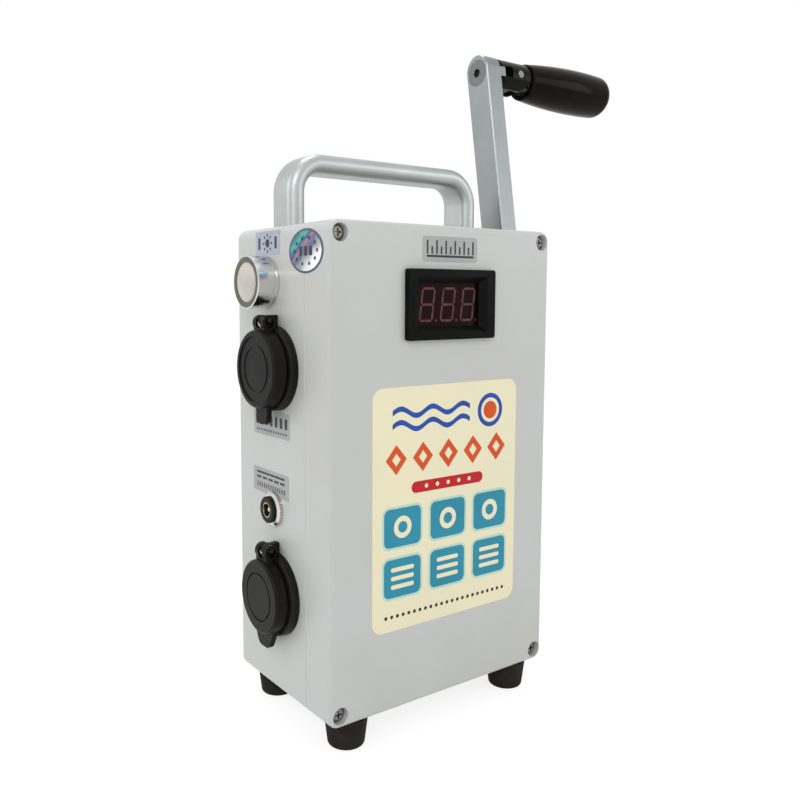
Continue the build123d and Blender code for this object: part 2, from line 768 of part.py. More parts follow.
def socket_shell(length):
    """The flange, barrel and hinge lug that both sockets share."""
    flange = rod(FLANGE_R, 0, FLANGE_T)
    flange = fillet(flange.edges().sort_by(Axis.Z)[-1], FLANGE_EDGE_R)
    for y0, y1 in loop_spans():
        flange -= hinge_bar(LOOP_R + LOOP_DROP + LOOP_GAP, y0 - LOOP_GAP, y1 + LOOP_GAP)
    lug_y = (-HINGE_LUG_HALF, HINGE_LUG_HALF)
    lug = span_box(FLANGE_R - FLANGE_T, HINGE_UP + HINGE_LUG_R, *lug_y, 0, FLANGE_T)
    lug += span_box(HINGE_UP - HINGE_LUG_R, HINGE_UP + HINGE_LUG_R, *lug_y, 0, HINGE_OUT)
    lug += hinge_bar(HINGE_LUG_R, -HINGE_LUG_HALF, HINGE_LUG_HALF)
    lug -= hinge_bar(HINGE_PIN_R + SEAT_FIT, -HINGE_LUG_HALF, HINGE_LUG_HALF)
    return flange + rod(BARREL_R, -length, 0) + lug


def socket_nut(z):
    """The ring nut that clamps a socket's barrel from inside."""
    back = -WALL - SOCKET_NUT_T
    return socket_place(z) * tube(SOCKET_NUT_R, BARREL_R + THREAD_FIT, back, -WALL)


def cap_hinge_pins():
    """The straight pins, pressed through the lugs, that the caps' loops hang on."""
    pin = hinge_bar(HINGE_PIN_R, -HINGE_PIN_HALF, HINGE_PIN_HALF)
    pin = chamfer(pin.edges().filter_by(GeomType.CIRCLE), HINGE_PIN_EDGE)
    return group(*[socket_place(z) * pin for z in (USB_Z, POWER_Z)])


def cap_loops(cap_r):
    """The two loops of a cap, hung a little below the pin, and the yoke that joins them to its rim."""
    depth = (HINGE_OUT - LOOP_ARM_IN, HINGE_OUT + LOOP_ARM_OUT)
    spans = loop_spans()
    loops = span_box(cap_r - YOKE_ROOT, cap_r + YOKE_PAST, spans[0][0], spans[1][1], *depth)
    for y0, y1 in spans:
        loops += span_box(cap_r - YOKE_ROOT, HINGE_UP - LOOP_DROP, y0, y1, *depth)
        loops += Pos(-LOOP_DROP, 0, 0) * hinge_bar(LOOP_R, y0, y1)
    for y0, y1 in spans:
        loops -= Pos(-LOOP_DROP, 0, 0) * hinge_bar(LOOP_HOLE_R, y0, y1)
    return loops


def cap_tab(length, root_wide, front_out):
    """The tapering finger tab below a cap."""
    root = root_wide / 2
    tip = TAB_TIP_WIDE / 2
    outline = Polygon((TAB_ROOT_UP, -root), (-length, -tip), (-length, tip), (TAB_ROOT_UP, root), align=None)
    outline = fillet(outline.vertices().sort_by(Axis.X)[:2], tip * 0.8)
    return Pos(0, 0, front_out - TAB_T) * extrude(outline, TAB_T)


def cap_blank(cap_r, front_out, spigot_r, spigot_out):
    """A cap without its tab and face pattern: disc, seat ring, spigot and hinge loops."""
    disc = rod(cap_r, CAP_BACK_OUT, front_out)
    disc = fillet(disc.edges().sort_by(Axis.Z)[-1], CAP_EDGE_R)
    seat_out = FLANGE_T + CAP_SEAT_GAP
    cap = disc + tube(CAP_SEAT_R, CAP_SEAT_R - CAP_SEAT_WALL, seat_out, CAP_BACK_OUT)
    cap += tube(spigot_r, spigot_r - CAP_SEAT_WALL, spigot_out, CAP_BACK_OUT)
    return cap + cap_loops(cap_r)


# USB socket --------------------------------------------------------------------------------

def port_places():
    """The two USB ports, one above the other on the socket's face."""
    return [Pos(up, 0, 0) for up in (-USB_PORT_PITCH / 2, USB_PORT_PITCH / 2)]


def usb_socket():
    """The socket's moulded body with a sunk face and two port openings."""
    body = socket_shell(USB_LENGTH)
    body -= rod(USB_MOUTH_R, USB_FACE_OUT, FLANGE_T + HINGE_OUT)
    back = USB_FACE_OUT - USB_PORT_DEEP
    high = USB_PORT_HIGH / 2 + USB_PORT_FIT
    wide = USB_PORT_WIDE / 2 + USB_PORT_FIT
    for place in port_places():
        body -= place * span_box(-high, high, -wide, wide, back, USB_FACE_OUT + 1)
    return socket_place(USB_Z) * body


def usb_ports():
    """The pressed metal shells of the ports with the tongue inside each."""
    high = USB_PORT_HIGH / 2
    wide = USB_PORT_WIDE / 2
    back = USB_FACE_OUT - USB_PORT_DEEP
    shell = span_box(-high, high, -wide, wide, back, USB_FACE_OUT)
    room_high = high - USB_PORT_WALL
    room_wide = wide - USB_PORT_WALL
    front = USB_FACE_OUT + 1
    floor = back + USB_PORT_BACK_T
    shell -= span_box(-room_high, room_high, -room_wide, room_wide, floor, front)
    tongue_out = USB_FACE_OUT - USB_TONGUE_SET_BACK
    half_wide = USB_TONGUE_WIDE / 2
    half_high = USB_TONGUE_HIGH / 2
    shell += span_box(-half_high, half_high, -half_wide, half_wide, back, tongue_out)
    return group(*[socket_place(USB_Z) * place * shell for place in port_places()])


def usb_cap():
    """The upper cap: a thick round rim about a sunk face with a raised ring."""
    spigot_r = USB_MOUTH_R - SPIGOT_FIT
    cap = cap_blank(USB_CAP_R, USB_CAP_OUT, spigot_r, USB_SPIGOT_OUT)
    cap += cap_tab(USB_TAB_LENGTH, USB_TAB_ROOT_WIDE, USB_CAP_OUT - USB_TAB_SET_BACK)
    floor = USB_CAP_OUT - USB_CAP_DISH
    cap -= rod(USB_CAP_DISH_R, floor, USB_CAP_OUT + 1)
    ring_inner = USB_CAP_RING_R - USB_CAP_RING_WIDE
    cap += tube(USB_CAP_RING_R, ring_inner, floor - USB_CAP_DISH, floor + USB_CAP_RING)
    return socket_place(USB_Z) * cap


# 12 V socket -------------------------------------------------------------------------------

def power_socket():
    """The socket's moulded body with a round mouth and a seat for the metal liner."""
    body = socket_shell(POWER_LENGTH)
    liner_back = LINER_FRONT_OUT - LINER_LENGTH
    body -= rod(POWER_MOUTH_R, 0, FLANGE_T + HINGE_OUT)
    floor = liner_back - BUTTON_GAP - BUTTON_H
    body -= rod(POWER_BORE_R + LINER_T + LINER_FIT, liner_back, LINER_FRONT_OUT)
    body -= rod(POWER_WELL_R, floor, 0)
    return socket_place(POWER_Z) * body


def power_contacts():
    """The metal liner, the centre button and the two blades at the back."""
    back = LINER_FRONT_OUT - LINER_LENGTH
    liner = tube(POWER_BORE_R + LINER_T, POWER_BORE_R, back, LINER_FRONT_OUT)
    floor = back - BUTTON_GAP - BUTTON_H
    button = rod(BUTTON_R, floor, floor + BUTTON_H)
    pieces = [liner, button]
    half_wide = POWER_BLADE_WIDE / 2
    half_thick = POWER_BLADE_T / 2
    for y in (-POWER_BLADE_Y, POWER_BLADE_Y):
        x_span = (-half_wide, half_wide)
        z_span = (-POWER_LENGTH - POWER_BLADE_LENGTH, -POWER_LENGTH)
        pieces.append(span_box(*x_span, y - half_thick, y + half_thick, *z_span))
    return group(*[socket_place(POWER_Z) * piece for piece in pieces])


def power_cap():
    """The lower cap: a flat face with one round groove."""
    spigot_r = POWER_BORE_R - SPIGOT_FIT
    cap = cap_blank(POWER_CAP_R, POWER_CAP_OUT, spigot_r, POWER_SPIGOT_OUT)
    cap += cap_tab(POWER_TAB_LENGTH, POWER_TAB_ROOT_WIDE, POWER_CAP_OUT - POWER_TAB_SET_BACK)
    groove = POWER_CAP_GROOVE
    ring = tube(POWER_CAP_GROOVE_R + groove, POWER_CAP_GROOVE_R, POWER_CAP_OUT - groove, POWER_CAP_OUT + 1)
    return socket_place(POWER_Z) * (cap - ring)


# DC jack -----------------------------------------------------------------------------------

def jack_place():
    """The jack's place on the left wall."""
    return Pos(LEFT_X, FRONT_Y + JACK_BACK, BOTTOM_Z + JACK_UP) * ON_LEFT


def dc_jack():
    """The jack's moulded body, shouldered against the inside of the wall."""
    barrel = rod(JACK_R, -WALL, JACK_OUT)
    barrel = chamfer(barrel.edges().sort_by(Axis.Z)[-1], JACK_EDGE)
    body = barrel + rod(JACK_BODY_R, -WALL - JACK_BODY_LENGTH, -WALL)
    return jack_place() * (body - rod(JACK_BORE_R, JACK_OUT - JACK_BORE_DEEP, JACK_OUT + 1))


def dc_jack_contacts():
    """The sprung sleeve and the centre pin inside the jack."""
    floor = JACK_OUT - JACK_BORE_DEEP
    sleeve_out = JACK_OUT - JACK_SLEEVE_SET_BACK
    sleeve = tube(JACK_BORE_R, JACK_BORE_R - JACK_SLEEVE_T, floor, sleeve_out)
    pin = rod(JACK_PIN_R, floor, JACK_OUT - JACK_PIN_SET_BACK)
    pin = fillet(pin.edges().sort_by(Axis.Z)[-1], JACK_PIN_ROUND)
    return group(jack_place() * sleeve, jack_place() * pin)


def dc_jack_nut():
    """The nickel-plated round nut on the outside of the wall, bevelled and knurled."""
    nut = rod(JACK_NUT_R, 0, JACK_NUT_T)
    nut = chamfer(nut.edges().sort_by(Axis.Z)[-1], JACK_NUT_EDGE)
    groove = Pos(JACK_NUT_R, 0, 0) * Rot(0, 0, 45) * Box(JACK_NUT_GROOVE, JACK_NUT_GROOVE, 2 * JACK_NUT_T)
    for i in range(JACK_NUT_GROOVES):
        nut -= Rot(0, 0, 360 / JACK_NUT_GROOVES * i) * groove
    return jack_place() * (nut - rod(JACK_R + THREAD_FIT, 0, JACK_NUT_T))


# Volt meter --------------------------------------------------------------------------------
# Made about the front face: the depths are measured back from it.

def meter_block(width, height, front, back):
    """A block centred on the meter between two depths behind the case's front face."""
    half_w = width / 2
    half_h = height / 2
    y0 = FRONT_Y + front
    return span_box(-half_w, half_w, y0, FRONT_Y + back, METER_Z - half_h, METER_Z + half_h)


def meter_bezel():
    """The moulded frame with an inward bevel, and the box behind it in one piece."""
    frame = meter_block(METER_W, METER_H, -METER_PROUD, 0)
    frame = fillet(frame.edges().filter_by(Axis.Y), METER_CORNER_R)
    frame = fillet(frame.faces().sort_by(Axis.Y)[0].edges(), METER_EDGE_R)
    body = meter_block(METER_BODY_W, METER_BODY_H, 0, METER_BODY_DEEP)
    body -= meter_block(METER_ROOM_W, METER_ROOM_H, METER_LIP_BACK, METER_BODY_DEEP + 1)
    bezel = frame + body
    bezel -= meter_block(METER_WINDOW_W, METER_WINDOW_H, -METER_PROUD - 1, METER_LIP_BACK + 1)
    front = bezel.faces().sort_by(Axis.Y)[0]
    return chamfer(front.inner_wires()[0].edges(), METER_BEVEL)


def meter_window():
    """The dark red filter behind the bezel's lip."""
    width = METER_ROOM_W - 2 * METER_INNER_GAP
    height = METER_ROOM_H - 2 * METER_INNER_GAP
    return meter_block(width, height, METER_LIP_BACK, METER_LIP_BACK + METER_WINDOW_T)


def meter_display():
    """The three-digit block on its board, behind the filter."""
    front = METER_LIP_BACK + METER_WINDOW_T
    back = front + METER_DISPLAY_T
    block = meter_block(DIGIT_BLOCK_W, DIGIT_BLOCK_H, front, back)
    width = METER_ROOM_W - 2 * METER_INNER_GAP
    height = METER_ROOM_H - 2 * METER_INNER_GAP
    return block + meter_block(width, height, back, back + METER_BOARD_T)


# Crank -------------------------------------------------------------------------------------

def crank_arm():
    """A flat aluminium bar with round ends, a square socket and two locating tenons."""
    length = CRANK_RADIUS + 2 * ARM_BEYOND
    middle = CRANK_RADIUS / 2
    outline = Plane.YZ * SlotOverall(length, ARM_WIDE, rotation=90)
    arm = Pos(ARM_X, 0, middle) * extrude(outline, ARM_THICK)
    long_edges = arm.faces().sort_by(Axis.X)[0].edges() + arm.faces().sort_by(Axis.X)[-1].edges()
    arm = chamfer(long_edges, ARM_EDGE)
    half_square = SHAFT_SQUARE / 2 + SQUARE_FIT
    square = (-half_square, half_square)
    arm -= span_box(ARM_X - 1, ARM_FACE_X + 1, *square, *square)
    low = CRANK_RADIUS - TENON_HIGH / 2
    high = CRANK_RADIUS + TENON_HIGH / 2
    tenon_x = (ARM_FACE_X - ARM_EDGE, ARM_FACE_X + TENON_OUT)
    inner = TENON_CORE_R + TENON_FIT
    arm += span_box(*tenon_x, inner, ARM_WIDE / 2, low, high)
    arm += span_box(*tenon_x, -ARM_WIDE / 2, -inner, low, high)
    clear_r = GRIP_SCREW_R + SCREW_CLEARANCE
    sink = Pos(ARM_X, 0, CRANK_RADIUS) * ON_RIGHT
    arm -= sink * rod(clear_r, -1, ARM_THICK + 1)
    head_r = GRIP_HEAD_R + SCREW_CLEARANCE
    arm -= sink * turned((0, -1), (head_r, -1), (head_r, 0), (clear_r, head_r - clear_r), (0, head_r - clear_r))
    return CRANK * arm


def crank_shaft():
    """The steel shaft from the inner plate out to the arm, squared at its outer end."""
    shoulder_x = ARM_X - SHAFT_SHOULDER_T
    shaft = rod_x(SHAFT_R, INNER_PLATE_X, ARM_X, 0, 0)
    shaft += rod_x(SHAFT_SHOULDER_R, shoulder_x, ARM_X, 0, 0)
    half = SHAFT_SQUARE / 2
    end_x = ARM_FACE_X - SHAFT_SHORT_OF_ARM
    shaft += span_box(ARM_X, end_x, -half, half, -half, half)
    tapped = HUB_SCREW_LENGTH - HUB_WASHER_T + TIP_ROOM
    shaft -= rod_x(HUB_SCREW_R + THREAD_FIT, end_x - tapped, end_x + 1, 0, 0)
    pin_z = SHAFT_R + 1
    pin = Pos(DRIVE_GEAR_X - HUB_LENGTH / 2, 0, 0) * rod(GEAR_PIN_R + SEAT_FIT, -pin_z, pin_z)
    return CRANK * shaft - Pos(0, CRANK_Y, CRANK_Z) * pin


def crank_washer():
    """The washer that clamps the arm against the shaft's shoulder."""
    washer = tube(HUB_WASHER_R, HUB_SCREW_R + SCREW_CLEARANCE, 0, HUB_WASHER_T)
    return CRANK * Pos(ARM_FACE_X, 0, 0) * ON_RIGHT * washer


def crank_screw():
    """The pan-head screw in the end of the shaft."""
    screw = pan_screw(HUB_SCREW_R, HUB_SCREW_LENGTH, HUB_HEAD_R, HUB_HEAD_H)
    return CRANK * Pos(ARM_FACE_X + HUB_WASHER_T, 0, 0) * ON_RIGHT * screw


def shaft_collar():
    """The flanged plastic collar that carries the shaft where it leaves the case."""
    collar = rod(COLLAR_R, 0, COLLAR_T)
    collar = fillet(collar.edges().sort_by(Axis.Z)[-1], COLLAR_EDGE_R)
    collar += rod(COLLAR_NECK_R, -WALL, 0)
    collar -= rod(SHAFT_R + RUN_FIT, -WALL, COLLAR_T)
    return Pos(RIGHT_X, CRANK_Y, CRANK_Z) * ON_RIGHT * collar


# Fold-away grip ----------------------------------------------------------------------------

def grip_screw():
    """The countersunk socket screw that holds the grip's fork on the arm."""
    cone = GRIP_HEAD_R - GRIP_SCREW_R
    length = GRIP_SCREW_LENGTH
    screw = turned((0, 0), (GRIP_HEAD_R, 0), (GRIP_SCREW_R, cone), (GRIP_SCREW_R, length), (0, length))
    screw -= hexagon(GRIP_HEX_AF, -1, GRIP_HEX_DEEP)
    return CRANK * Pos(ARM_X, 0, CRANK_RADIUS) * ON_RIGHT * screw


def fold_bar(radius, y0, y1):
    """A round bar along the fold axis, in the crank's frame."""
    bar = Rot(90, 0, 0) * Cylinder(radius, y1 - y0)
    return Pos(FOLD_X, (y0 + y1) / 2, CRANK_RADIUS) * bar


def grip_fork():
    """The round fork on the arm, slotted for the grip's tongue and keyed over the tenons."""
    axis_z = CRANK_RADIUS
    fork = rod_x(FORK_R, ARM_FACE_X, FORK_END_X, 0, axis_z)
    fork = fillet(fork.edges().sort_by(Axis.X)[-1], FORK_EDGE_R)
    slot = TONGUE_T / 2 + TONGUE_FIT
    slot_x = FOLD_X - TONGUE_H / 2 - TONGUE_ROOM
    slot_top = axis_z + TONGUE_H / 2 + TONGUE_ROOM
    fork -= span_box(slot_x, FORK_END_X + 1, -slot, slot, axis_z - FORK_R - 1, slot_top)
    far = FORK_R + 1
    lower = span_box(FOLD_X, FORK_END_X + 1, -far, far, axis_z - far, axis_z)
    fork -= lower - fold_bar(FOLD_REACH, -far, far)
    fork -= span_box(ARM_FACE_X - 1, FORK_END_X + 1, -far, far, axis_z - far, axis_z - FOLD_REACH)
    fork -= fold_bar(FOLD_PIN_R + SEAT_FIT, -far, far)
    thread_end = ARM_X + GRIP_SCREW_LENGTH + GRIP_SCREW_ROOM
    fork -= rod_x(GRIP_SCREW_R + THREAD_FIT, ARM_FACE_X - 1, thread_end, 0, axis_z)
    high = TENON_HIGH / 2 + TENON_FIT
    window_x = (ARM_FACE_X - 1, ARM_FACE_X + WINDOW_OUT)
    for y0, y1 in ((TENON_CORE_R, far), (-far, -TENON_CORE_R)):
        fork -= span_box(*window_x, y0, y1, axis_z - high, axis_z + high)
    return CRANK * fork


def fold_pin():
    """The steel pin that the grip folds about."""
    pin = fold_bar(FOLD_PIN_R, -FORK_R, FORK_R)
    return CRANK * chamfer(pin.edges().filter_by(GeomType.CIRCLE), 0.3)


def grip_spindle():
    """The flat tongue in the fork, its shoulder and the round spindle inside the sleeve."""
    axis_z = CRANK_RADIUS
    half_h = TONGUE_H / 2
    half_t = TONGUE_T / 2
    spindle = span_box(FOLD_X, SHOULDER_X, -half_t, half_t, axis_z - half_h, axis_z + half_h)
    spindle += fold_bar(half_h, -half_t, half_t)
    spindle -= fold_bar(FOLD_PIN_R + RUN_FIT, -half_t, half_t)
    spindle += rod_x(SHOULDER_R, SHOULDER_X, SHOULDER_X + SHOULDER_T, 0, axis_z)
    spindle += rod_x(SPINDLE_R, SHOULDER_X, SLEEVE_X + SPINDLE_LENGTH, 0, axis_z)
    groove = rod_x(CLIP_R, CLIP_X - CLIP_T, CLIP_X, 0, axis_z)
    groove -= rod_x(SPINDLE_R - CLIP_GROOVE, CLIP_X - CLIP_T, CLIP_X, 0, axis_z)
    return CRANK * (spindle - groove)


def grip_clip():
    """The open retaining ring in the spindle's groove."""
    ring = tube(CLIP_R, SPINDLE_R - CLIP_GROOVE, -CLIP_T, 0)
    ring -= span_box(0, CLIP_R + 1, -CLIP_MOUTH / 2, CLIP_MOUTH / 2, -CLIP_T, 0)
    return CRANK * Pos(CLIP_X, 0, CRANK_RADIUS) * ON_RIGHT * ring


def grip_sleeve():
    """The glossy barrel-shaped sleeve that turns on the spindle, closed at its outer end."""
    end = SLEEVE_LENGTH
    side = ThreePointArc((SLEEVE_NECK_R, 0), (SLEEVE_BELLY_R, end / 2), (SLEEVE_END_R, end))
    closing = Polyline((SLEEVE_END_R, end), (0, end), (0, 0), (SLEEVE_NECK_R, 0))
    sleeve = revolve(Plane.XZ * make_face(Curve() + [side, closing]), Axis.Z)
    rims = sleeve.edges().filter_by(GeomType.CIRCLE).sort_by(Axis.Z)
    sleeve = fillet(rims[-1], SLEEVE_ROUND)
    rims = sleeve.edges().filter_by(GeomType.CIRCLE).sort_by(Axis.Z)
    sleeve = fillet(rims[0], SLEEVE_NECK_ROUND)
    bore_end = end - SLEEVE_END_WALL
    sleeve -= rod(SPINDLE_R + RUN_FIT, -1, bore_end)
    pocket_start = SPINDLE_LENGTH - CLIP_SHORT - CLIP_T - CLIP_POCKET_DEEP / 3
    sleeve -= rod(CLIP_POCKET_R, pocket_start, bore_end)
    return CRANK * Pos(SLEEVE_X, 0, CRANK_RADIUS) * ON_RIGHT * sleeve


# Gear train --------------------------------------------------------------------------------

def involute_lead(cos_phi):
    """The involute function tan(phi) - phi."""
    phi = acos(cos_phi)
    return tan(phi) - phi


def tooth_side(pitch_r, module, teeth, shift):
    """One flank of a spur tooth: (radius, half angle) pairs from root to tip."""
    pressure = radians(PRESSURE_DEG)
    base_r = pitch_r * cos(pressure)
    tip_r = pitch_r + module * (1 + shift)
    root_r = pitch_r - module * (1.25 - shift)
    half = (pi / 2 + 2 * shift * tan(pressure)) / teeth - BACKLASH * module / (4 * pitch_r)
    start_r = max(root_r, base_r)
    middle_r = start_r + (tip_r - start_r) * 0.5
    side = []
    for radius in (start_r, middle_r, tip_r):
        lead = involute_lead(cos(pressure)) - involute_lead(base_r / radius)
        side.append((radius, half + lead))
    if root_r < base_r:
        side.insert(0, (root_r, side[0][1]))
    return side


def spur_gear(module, teeth, shift, width, turn):
    """A spur gear along Z from zero, with one tooth at the given angle from X."""
    side = tooth_side(module * teeth / 2, module, teeth, shift)
    points = []
    for tooth in range(teeth):
        middle = 2 * pi * tooth / teeth + radians(turn)
        flanks = [(r, middle - a) for r, a in side] + [(r, middle + a) for r, a in side[::-1]]
        points += [(r * cos(angle), r * sin(angle)) for r, angle in flanks]
    return extrude(make_face(Polyline(*points, close=True)), width)


def half_pitch_turn():
    """The turn that puts a gap of the large gears opposite their pinion's tooth."""
    return 180.0 / GEAR_TEETH


def on_shaft(x, z):
    """A place on a gear shaft; the piece's X then points down."""
    return Pos(x, CRANK_Y, z) * ON_RIGHT


def drive_gear():
    """The large nylon gear on the crank shaft, with a dished web and a pinned hub."""
    gear = spur_gear(DRIVE_MODULE, GEAR_TEETH, -TOOTH_SHIFT, DRIVE_GEAR_WIDE, half_pitch_turn())
    rim_r = DRIVE_MODULE * GEAR_TEETH / 2 - WEB_RIM
    gear -= tube(rim_r, WEB_INNER_R, -1, WEB_DEEP)
    gear -= tube(rim_r, WEB_INNER_R, DRIVE_GEAR_WIDE - WEB_DEEP, DRIVE_GEAR_WIDE + 1)
    gear += rod(HUB_R, -HUB_LENGTH, GEAR_ROOM_X1 - BEAR_GAP - DRIVE_GEAR_X)
    gear -= rod(SHAFT_R + SEAT_FIT, -HUB_LENGTH, DRIVE_GEAR_WIDE * 2)
    gear = on_shaft(DRIVE_GEAR_X, CRANK_Z) * gear
    pin = Pos(DRIVE_GEAR_X - HUB_LENGTH / 2, CRANK_Y, CRANK_Z)
    return gear - pin * rod(GEAR_PIN_R + SEAT_FIT, -HUB_R - 1, HUB_R + 1)


def drive_gear_pin():
    """The cross pin through the drive gear's hub and the crank shaft."""
    place = Pos(DRIVE_GEAR_X - HUB_LENGTH / 2, CRANK_Y, CRANK_Z)
    return place * rod(GEAR_PIN_R, -HUB_R, HUB_R)


def intermediate_gear():
    """The second large gear, pressed on the intermediate shaft."""
    turn = half_pitch_turn()
    gear = spur_gear(SECOND_MODULE, GEAR_TEETH, -TOOTH_SHIFT, SECOND_GEAR_WIDE, turn)
    gear -= rod(SECOND_SHAFT_R + SEAT_FIT, -1, SECOND_GEAR_WIDE + 1)
    return on_shaft(SECOND_GEAR_X, SECOND_Z) * gear


def intermediate_pinion():
    """The steel pinion that meets the drive gear, with hubs out to both bearings."""
    wide = DRIVE_GEAR_WIDE + 2 * PINION_EXTRA
    pinion = spur_gear(DRIVE_MODULE, PINION_TEETH, TOOTH_SHIFT, wide, 0)
    start = DRIVE_GEAR_X - PINION_EXTRA
    hub_start = SECOND_GEAR_X + SECOND_GEAR_WIDE - start
    pinion += rod(SECOND_HUB_R, hub_start, GEAR_ROOM_X1 - BEAR_GAP - start)
    pinion -= rod(SECOND_SHAFT_R + SEAT_FIT, hub_start, GEAR_ROOM_X1 - start)
    return on_shaft(start, SECOND_Z) * pinion


def intermediate_shaft():
    """The steel shaft that carries both intermediate gears."""
    return rod_x(SECOND_SHAFT_R, INNER_PLATE_X, OUTER_PLATE_X + PLATE_T, CRANK_Y, SECOND_Z)


def generator_pinion():
    """The brass pinion on the generator's shaft."""
    wide = SECOND_GEAR_WIDE + 2 * PINION_EXTRA
    pinion = spur_gear(SECOND_MODULE, PINION_TEETH, TOOTH_SHIFT, wide, 0)
    pinion -= rod(MOTOR_SHAFT_R + SEAT_FIT, -1, wide + 1)
    return on_shaft(SECOND_GEAR_X - PINION_EXTRA, MOTOR_Z) * pinion


# Gearbox frame -----------------------------------------------------------------------------

def gear_plate(x):
    """One side plate of the gearbox, bored for both bushes and the four screws."""
    bottom = BOTTOM_Z + PLATE_BOTTOM_UP
    top = BOTTOM_Z + PLATE_TOP_UP
    outline = RectangleRounded(2 * PLATE_HALF_W, top - bottom, PLATE_CORNER_R)
    plate = Pos(x, CRANK_Y, (bottom + top) / 2) * extrude(Plane.YZ * outline, PLATE_T)
    far = x + PLATE_T + 1
    for radius, z in ((SHAFT_R, CRANK_Z), (SECOND_SHAFT_R, SECOND_Z)):
        plate -= rod_x(radius + BUSH_WALL + SEAT_FIT, x - 1, far, CRANK_Y, z)
    return plate


def motor_screw_places(x):
    """The three screws that hold the generator's face on the inner plate."""
    turns = [Rot(0, 0, turn) for turn in MOTOR_SCREW_TURNS]
    return [on_shaft(x, MOTOR_Z) * turn * Pos(MOTOR_SCREW_PCR, 0, 0) for turn in turns]


def gearbox_inner_plate():
    """The inner plate, tapped for the long screws and bored for the generator's boss."""
    plate = gear_plate(INNER_PLATE_X)
    far = INNER_PLATE_X + PLATE_T + 1
    plate -= rod_x(MOTOR_BOSS_R + SEAT_FIT, INNER_PLATE_X - 1, far, CRANK_Y, MOTOR_Z)
    for place in post_places(INNER_PLATE_X):
        plate -= place * rod(BOX_SCREW_R + THREAD_FIT, -1, PLATE_T + 1)
    for place in motor_screw_places(INNER_PLATE_X):
        plate -= place * rod(MOTOR_SCREW_R + SCREW_CLEARANCE, -1, PLATE_T + 1)
    return plate


def gearbox_outer_plate():
    """The outer plate, which lies against the inside of the right wall."""
    plate = gear_plate(OUTER_PLATE_X)
    for place in post_places(OUTER_PLATE_X):
        plate -= place * rod(BOX_SCREW_R + SCREW_CLEARANCE, -1, PLATE_T + 1)
    return plate


def gearbox_spacers():
    """The four tubes that hold the plates apart."""
    post = tube(POST_R, BOX_SCREW_R + SCREW_CLEARANCE, 0, PLATE_GAP)
    return group(*[place * post for place in post_places(INNER_PLATE_X + PLATE_T)])


def gearbox_screws():
    """The four long screws from the outside of the right wall into the inner plate."""
    length = RIGHT_X - INNER_PLATE_X
    screw = pan_screw(BOX_SCREW_R, length, BOX_HEAD_R, BOX_HEAD_H)
    return group(*[place * screw for place in post_places(RIGHT_X)])


def flanged_bush(shaft_r, outward):
    """A bronze bush about Z; its neck runs from zero the given way, its flange the other."""
    neck_r = shaft_r + BUSH_WALL
    bush = rod(neck_r, 0, PLATE_T) + rod(neck_r + BUSH_FLANGE_EXTRA, -BUSH_FLANGE_T, 0)
    bush -= rod(shaft_r + RUN_FIT, -BUSH_FLANGE_T, PLATE_T)
    return bush if outward else Rot(180, 0, 0) * bush


def gearbox_bushes():
    """The four bronze bushes that carry the crank and intermediate shafts."""
    bushes = []
    for radius, z in ((SHAFT_R, CRANK_Z), (SECOND_SHAFT_R, SECOND_Z)):
        bushes.append(on_shaft(OUTER_PLATE_X, z) * flanged_bush(radius, True))
        bushes.append(on_shaft(INNER_PLATE_X + PLATE_T, z) * flanged_bush(radius, False))
    return group(*bushes)


# Generator ---------------------------------------------------------------------------------
# Made about Z with its face at zero and its body behind, at negative heights.

def motor_place():
    """The generator's place against the inner plate."""
    return on_shaft(INNER_PLATE_X, MOTOR_Z)


def generator_can():
    """The drawn steel can with its bearing boss and tapped face."""
    can = rod(MOTOR_R, -MOTOR_LENGTH, 0)
    can = fillet(can.edges().sort_by(Axis.Z)[-1], MOTOR_EDGE_R)
    can -= rod(MOTOR_R - MOTOR_WALL, -MOTOR_LENGTH - 1, -MOTOR_FACE_T)
    can += rod(MOTOR_BOSS_R, 0, MOTOR_BOSS_T)
    can -= rod(MOTOR_SHAFT_R + RUN_FIT, -MOTOR_LENGTH, MOTOR_BOSS_T + 1)
    can = motor_place() * can
    for place in motor_screw_places(INNER_PLATE_X):
        can -= place * rod(MOTOR_SCREW_R + THREAD_FIT, -MOTOR_FACE_T - 1, 1)
    return can


def generator_screws():
    """The three screws from the gear side into the generator's face."""
    screw = pan_screw(MOTOR_SCREW_R, MOTOR_SCREW_LENGTH, MOTOR_HEAD_R, MOTOR_HEAD_H)
    return group(*[place * screw for place in motor_screw_places(INNER_PLATE_X + PLATE_T)])


def generator_magnets():
    """The two ceramic arc magnets inside the can."""
    outer_r = MOTOR_R - MOTOR_WALL - SEAT_FIT
    back = -MOTOR_LENGTH / 2 - MAGNET_LENGTH / 2
    sector = Pos(0, 0, back) * Cylinder(outer_r, MAGNET_LENGTH, arc_size=MAGNET_ARC, align=None)
    sector -= rod(outer_r - MAGNET_T, back, back + MAGNET_LENGTH)
    magnets = []
    for turn in (-MAGNET_ARC / 2, 180 - MAGNET_ARC / 2):
        magnets.append(motor_place() * Rot(0, 0, turn) * sector)
    return group(*magnets)


